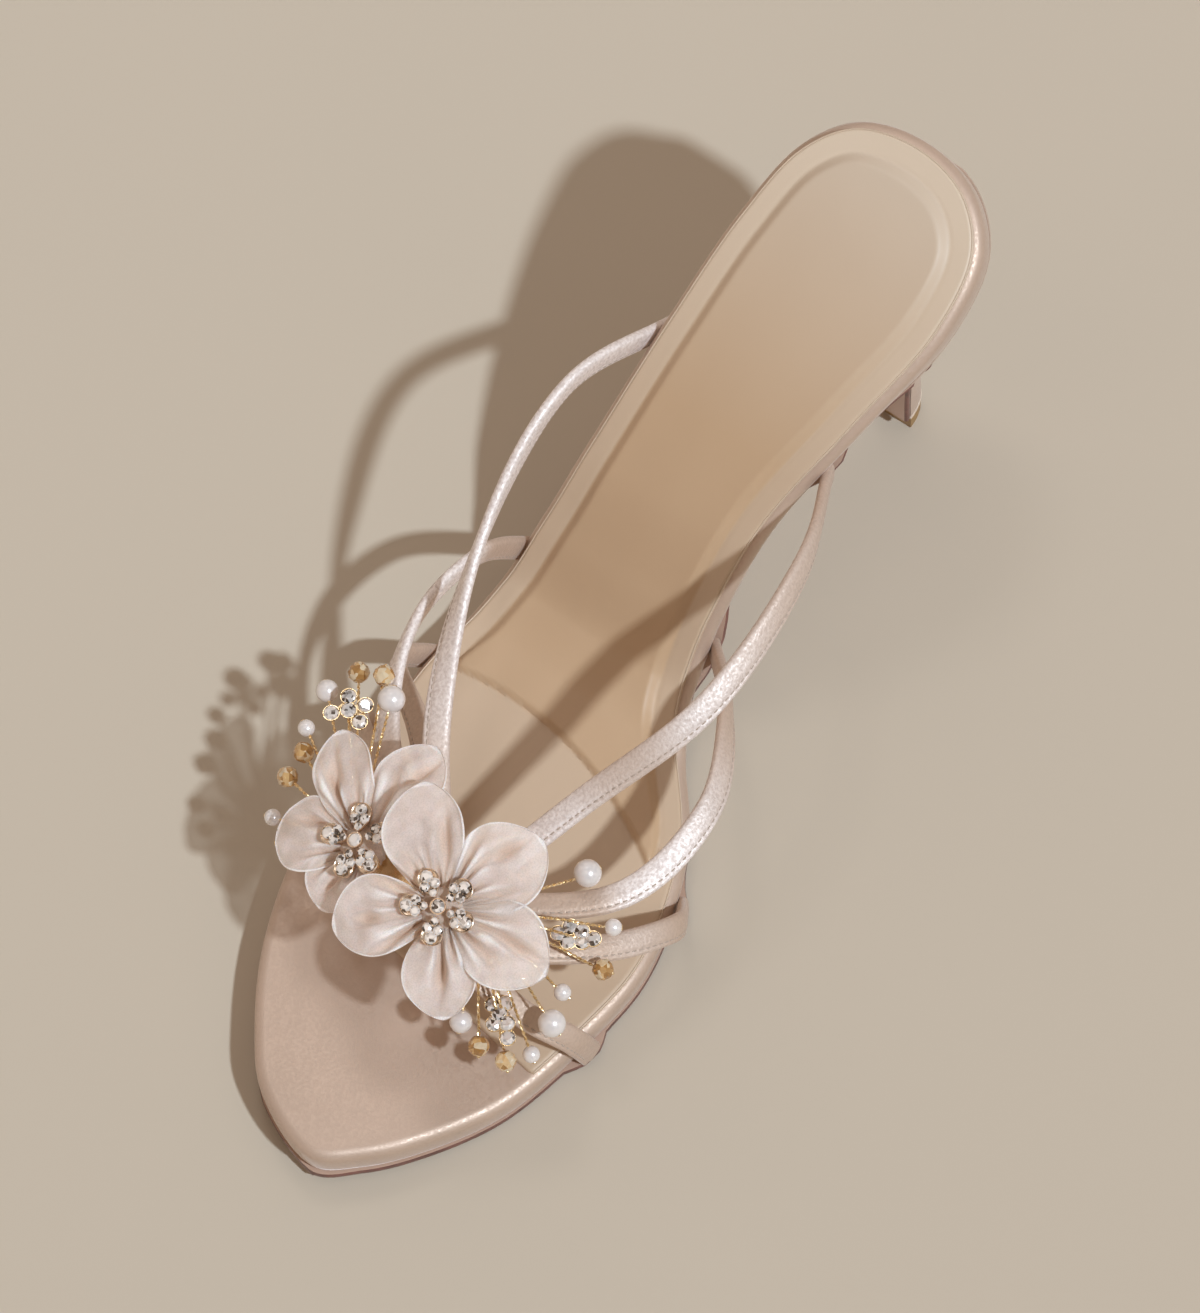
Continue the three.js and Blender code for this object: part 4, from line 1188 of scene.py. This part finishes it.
def gathers(rng):
    """Pleats of a petal: angle, bend, half width in degrees, depth and length share."""
    pleats = []
    for base in range(-36, 41, 9):
        pleats.append((
            base + rng.uniform(-3.5, 3.5),
            rng.uniform(-7, 7),
            rng.uniform(1.6, 3.2),
            rng.uniform(0.5, 1.3),
            rng.uniform(0.36, 0.82),
        ))
    return pleats


def pleated(angle, t, pleats):
    """How deep the gathers cut in, at angles around the root and a share of the length."""
    fold = np.zeros_like(angle)
    for at, bend, width, depth, end in pleats:
        reach = smoothstep(t, 0.06, 0.22) * (1 - smoothstep(t, end * 0.45, end))
        off = np.abs(angle - at - bend * t) / (width * (1 + t))
        fold += depth * reach * (np.exp(-(off**2)) - 0.4 * np.exp(-((off - 1.9) ** 2)))
    return fold


def uneven(x, y, scale, seed):
    return np.array([noise.noise(Vector((a * scale, b * scale, seed))) for a, b in zip(x, y)])


def petal(spec, seed):
    """One petal puffed from doubled cloth, along +x from the flower's middle."""
    direction, length, left, right, raised, (deep_out, deep_direction, deep_long) = spec
    rng = random.Random(seed)
    pleats = gathers(rng)
    deep_at = math.radians(deep_direction - direction)
    deep_turn = math.radians(rng.uniform(-14, 14)) + deep_at
    c, s = level(PETAL_AROUND)[:, :2].T
    rings = []
    shades = []
    for i in range(PETAL_STEPS + 1):
        t = PETAL_ROOT + (1 - PETAL_ROOT) * math.sin(i / PETAL_STEPS * math.pi / 2) ** 1.15
        opened = max(math.sin(math.pi * min(t, 1) ** 1.35), 0.0) ** 0.62
        opened = max(opened, 0.13 * (1 - smoothstep(t, 0.9, 1.0)) + 0.02)
        half = np.where(c > 0, left, right) * opened
        x = np.full(PETAL_AROUND, length * t)
        y = half * signed_power(c, 0.85)
        fold = pleated(np.degrees(np.arctan2(y, x)), t, pleats)
        # The deep fold, along and across its own line, with a crest beside it
        away_x = x - deep_out * math.cos(deep_at)
        away_y = y - deep_out * math.sin(deep_at)
        along = (away_x * math.cos(deep_turn) + away_y * math.sin(deep_turn)) / deep_long
        across = away_y * math.cos(deep_turn) - away_x * math.sin(deep_turn)
        narrow = 1.1 * (1 - 0.5 * np.clip(np.abs(along), 0, 1))
        pinch = np.exp(-((across / narrow) ** 2) - (along / 0.5) ** 2)
        crest = np.exp(-(((across - 2.3) / 1.7) ** 2) - (along / 0.6) ** 2)
        ripple = uneven(x, y, 0.42, seed * 1.9)
        puff = PETAL_THICKNESS / 2 * max(math.sin(math.pi * t) ** 0.7, 0.16)
        z = length * (0.13 * math.sin(math.pi * t * 0.8) - 0.05 * t) + 0.12 * half * opened * c * c
        z += 0.9 * uneven(x, y, 0.16, seed * 3.7) * smoothstep(t, 0.2, 0.8) + 0.14 * ripple
        z += puff * np.where(s > 0, np.abs(s) ** 0.75, 0.6 * s)
        z += 0.9 * crest - 1.7 * pinch - fold
        z += 0.5 * smoothstep(np.abs(c), 0.86, 1.0) * smoothstep(t, 0.3, 0.6)
        rings.append(np.stack([x, y, z + raised], axis=1))
        near = 1 - smoothstep(t, 0.1, 0.55)
        rim = np.maximum(smoothstep(np.abs(c), 0.93, 1.0), smoothstep(t, 0.955, 0.99))
        # Darker towards the root and in the pleats and the deep fold: painted shade together with the
        # denser gathered cloth; lighter at the doubled rim
        shade = 0.14 + 0.42 * near**1.5 + 0.42 * fold + 0.55 * pinch - 0.3 * rim - 0.05 * ripple
        shades.append(np.clip(shade, 0, 1))
    points, faces = loft(rings, "flat")
    return turned(points, direction), faces, np.concatenate(shades)


def knot(foot_height):
    """Gathered middle: pleats running down from under the jewel to the plate of the wires."""
    pleat = 0.07 * np.cos(KNOT_PLEATS * np.arange(KNOT_STEPS) * 2 * math.pi / KNOT_STEPS)
    return loft([
        level(KNOT_STEPS, KNOT_RADIUS * share * (1 + pleat * min(share, 0.9)), z)
        for z, share in [*KNOT_LEVELS, (-foot_height, KNOT_FOOT)]
    ], "flat")


def teardrop_ring(scale, z):
    turn = np.arange(TEARDROP_STEPS) * 2 * math.pi / TEARDROP_STEPS
    x = -TEARDROP[0] * np.cos(turn)
    y = 1.22 * TEARDROP[1] * np.sin(turn) * np.sin(turn / 2) ** 0.9
    return np.stack([x * scale, y * scale, np.full(TEARDROP_STEPS, z)], axis=1)


def facets(rows, start=0.0):
    """Corners of a cut stone, eight to a level."""
    rings = [level(8, radius, z, start + half * math.pi / 8) for radius, z, half in rows]
    return np.stack(rings, axis=1).reshape(-1, 3)


def cut_stone(radius):
    """A round brilliant: table, crown facets, girdle and point."""
    points, faces = hull([*facets(BRILLIANT), *level(16), (0, 0, -0.5)])
    return points * radius, faces


def prongs(metal, centre, radius, count, turn):
    for spot in centre + radius * level(count, 1.0, 0.12, math.radians(turn)):
        metal.add(*ball(spot, PRONG, 8, 6))


def cup_ring(centre, radius, low, high, wall):
    """A short collar around a stone."""
    out = radius + wall
    rows = [(radius * 0.8, low), (out, low * 0.4), (out, high), (radius, high), (radius * 0.95, low * 0.3)]
    return loft([centre + level(24, r, z) for r, z in rows], "flat")


def floret(spec, height):
    """Teardrop settings around a round one, with small stones held by prongs."""
    metal = Shape()
    stones = Shape()
    shift = np.array([TEARDROP_REACH, 0, height])
    for degrees in spec["settings"]:
        points, faces = loft([teardrop_ring(*row) for row in TEARDROP_LEVELS], "flat")
        metal.add(turned(points + shift, degrees), faces)
        for out, side, radius in TEARDROP_STONES:
            spot = np.array([out, side, 0.55]) + shift
            points, faces = cut_stone(radius)
            stones.add(turned(turned(points, degrees * 1.7 + out * 40) + spot, degrees), faces)
            small = Shape()
            prongs(small, spot + (0, 0, 0.02), radius * 0.98, 4, 45)
            metal.add(turned(small.points, degrees), small.faces)
    middle = np.array([0, 0, height + 0.75])
    points, faces = cut_stone(MIDDLE_STONE)
    stones.add(points + middle, faces)
    metal.add(*cup_ring(middle, MIDDLE_STONE - 0.03, -1.5, 0.12, 0.22))
    prongs(metal, middle, MIDDLE_STONE + 0.05, 6, 15)
    return [Shape(on_flower(shape.points, spec), shape.faces) for shape in (metal, stones)]


def flowers():
    for number, (name, spec) in enumerate(FLOWERS.items()):
        origin = spray_point(spec["place"])
        petals = Shape()
        for i, row in enumerate(spec["petals"]):
            points, faces, shade = petal(row, seed=11 * number + i + 1)
            petals.add(on_flower(points, spec), faces, shade=shade)
        foot = origin[2] - patch_height(origin[1], HUB_TOP + GAP) - KNOT_RADIUS * PATCH_SLOPE
        points, faces = knot(foot)
        # The knot takes a dark colour of the gathers: painted shade together with the denser gathered
        # cloth
        gathered = Shape(on_flower(points, spec), faces, 0.55)
        gathered.piece(f"{name}_knot", [ORGANZA], "organza", shaded=True)
        made = petals.piece(f"{name}_petals", [ORGANZA], "organza", [name], shaded=True)
        width = sum(row[2] + row[3] for row in spec["petals"]) * MM
        metal, stones = floret(spec, KNOT_TOP + GAP + TEARDROP[2])
        metal.piece(f"{name}_settings", [PALE_GOLD], "gold", [f"{name}_floret"], crease=40)
        stones.piece(f"{name}_stones", [STONE], "crystal", smooth=False)


# Sprays of wires, pearls, beads and stones

def wire_path(target, stop, bow):
    """From the nearest place on the wires' plate, up in a bow and on to just before its end."""
    reach_of_plate = (HUB_LENGTH - 0.8) / 2
    middle_of_plate = vamp_point[1] + PATCH_SIDE * BALL_WIDTH
    away = np.clip(target[1] - middle_of_plate, -reach_of_plate, reach_of_plate)
    side = float(middle_of_plate + away)
    start = np.array([vamp_point[0], side, patch_height(side, HUB_TOP - HUB_THICKNESS / 2)])
    reach = target - start
    end = target - unit(reach) * stop
    middle = (start + end) / 2
    middle[2] += bow * np.linalg.norm(reach)
    return curve([start, middle, end], 40), unit(reach)


def twisted(path):
    """Two thin wires wound round each other."""
    turns = distances(path)[-1] / TWIST_PITCH
    line = spaced(path, max(int(turns * TWIST_STEPS), 12))
    _, across, up = frames_along(line)
    turn = np.linspace(0, turns * 2 * math.pi, len(line))[:, None]
    for start in (0, math.pi):
        strand = line + TWIST_RADIUS * (np.cos(turn + start) * across + np.sin(turn + start) * up)
        yield tube(strand, WIRE_RADIUS)


def pearl(shape, metal, centre, size, outwards):
    """A pearl with a small ring of metal at its far hole."""
    shape.add(*ball(centre, (size / 2,) * 3, 36, 22))
    pole = centre + outwards * size * 0.49
    _, across, up = frames_along(np.array([pole, pole + outwards]))
    turn = np.linspace(0, 2 * math.pi, 13)[:, None]
    metal.add(*tube(pole + 0.42 * (np.cos(turn) * across[0] + np.sin(turn) * up[0]), 0.15, 5))


def crystal_bead(shape, metal, centre, outwards, start):
    """A cut bead with a drop of metal at its far hole."""
    points, faces = hull(facets(BEAD_CUT, start))
    lean = Vector((0, 0, 1)).rotation_difference(Vector(outwards)).to_matrix()
    shape.add(points * BEAD / 2 @ np.array(lean).T + centre, faces)
    metal.add(*ball(centre + outwards * BEAD * 0.46, (0.34,) * 3, 10, 6))


def cluster(metal, stones, centre, offsets):
    """Round stones in cups that lean a little, joined by short bars."""
    for k, offset in enumerate(offsets):
        spot = centre + offset + (0, 0, 0.3)
        points, faces = cut_stone(STONE_RADIUS)
        points = turned(turned(points, 31 * k), 9 * math.cos(3 * k + 2), "Y")
        stones.add(turned(points, 9 * math.sin(5 * k + 1), "X") + spot, faces)
        metal.add(*cup_ring(spot, STONE_RADIUS, -1.0, 0.02, 0.09))
        prongs(metal, spot, STONE_RADIUS * 1.02, 4, 31 * k + 20)
    for ends in zip(offsets, offsets[1:]):
        metal.add(*tube(spaced(centre + ends - (0, 0, 0.7), 4), 0.3))


def sprays():
    metal = Shape(*plate(HUB_LENGTH, HUB_WIDTH, HUB_THICKNESS, HUB_TOP - HUB_THICKNESS, 0.25))
    for spray, rows in SPRAYS.items():
        pearls, beads, stones = (Shape() for _ in range(3))
        names = {"pearl": [], "bead": []}
        for kind, share in rows:
            target = spray_point(share)
            stop = WIRE_STOP if kind == "cluster" else SIZES[kind] / 2 + GAP - WIRE_SINK
            path, outwards = wire_path(target, stop, SPRAY_BOW[spray])
            if kind == "cluster":
                cluster(metal, stones, target, CLUSTER_STONES[spray])
            elif kind == "bead":
                crystal_bead(beads, metal, target, outwards, len(names["bead"]) * 0.4)
                names["bead"].append(f"{spray}_bead_{len(names['bead']) + 1}")
            else:
                pearl(pearls, metal, target, SIZES[kind], outwards)
                names["pearl"].append(f"{spray}_pearl_{len(names['pearl']) + 1}")
            for strand in twisted(path):
                metal.add(*strand)
        pearls.piece(f"{spray}_pearls", [PEARL], "pearl", names["pearl"])
        beads.piece(f"{spray}_beads", [AMBER], "crystal", names["bead"], smooth=False)
        stones.piece(f"{spray}_stones", [STONE], "crystal", smooth=False)
    metal.piece("spray_metal", [GOLD], "gold", ["spray_wires"], crease=40)


# Stage

def floor():
    size = 4.0
    corners = [(-size, -size, 0), (size, -size, 0), (size, size, 0), (-size, size, 0)]
    mesh = bpy.data.meshes.new("floor")
    mesh.from_pydata(corners, [], [(0, 1, 2, 3)])
    mesh.materials.append(surface(
        "floor", (0.56, 0.481, 0.386), 0.9, relief=[(900, 2, 0.02, 0.0002)], Specular_IOR_Level=0.15,
    ))
    placed("floor", mesh)


def camera():
    data = bpy.data.cameras.new("camera")
    data.lens = CAMERA_LENS
    data.clip_start = 0.05
    data.clip_end = 20
    made = placed("camera", data)
    stand, aim = (Vector(point) for point in to_row([CAMERA_PLACE, CAMERA_AIM]))
    roll = Matrix.Rotation(math.radians(CAMERA_ROLL), 3, "Z")
    turn = (aim - stand).to_track_quat("-Z", "Y").to_matrix() @ roll
    made.matrix_world = Matrix.Translation(stand) @ turn.to_4x4()
    bpy.context.scene.camera = made


def light(name, kind, energy, direction, size, distance=1.0, colour=(1, 1, 1)):
    data = bpy.data.lights.new(name, kind)
    data.energy = energy
    data.color = colour
    if kind == "SUN":
        data.angle = size
    else:
        data.shape = "DISK"
        data.size = size
    azimuth, elevation = (math.radians(a) for a in direction)
    level_reach = math.cos(elevation)
    towards = Vector((
        level_reach * math.cos(azimuth), level_reach * math.sin(azimuth), math.sin(elevation),
    ))
    made = placed(name, data)
    made.location = towards * distance
    made.rotation_mode = "QUATERNION"
    made.rotation_quaternion = towards.to_track_quat("Z", "Y")


def studio():
    light("key", "SUN", SUN_ENERGY, SUN_DIRECTION, math.radians(SUN_SPREAD), colour=SUN_COLOUR)
    light("sparkle", "AREA", SPARKLE_ENERGY, SPARKLE_DIRECTION, 0.3, distance=1.5)
    world = bpy.data.worlds.new("world")
    world.use_nodes = True
    bpy.context.scene.world = world
    sky = world.node_tree.nodes["Background"]
    link(world, stops(world, grain(world, 2.6, 1, "Generated"), SKY), sky.inputs["Color"])
    sky.inputs["Strength"].default_value = SKY_STRENGTH
    bpy.context.scene.view_settings.view_transform = "Standard"


footbed()
sock()
heel()
top_lift()
outsole()
straps()
vamp()
flowers()
sprays()
floor()
camera()
studio()
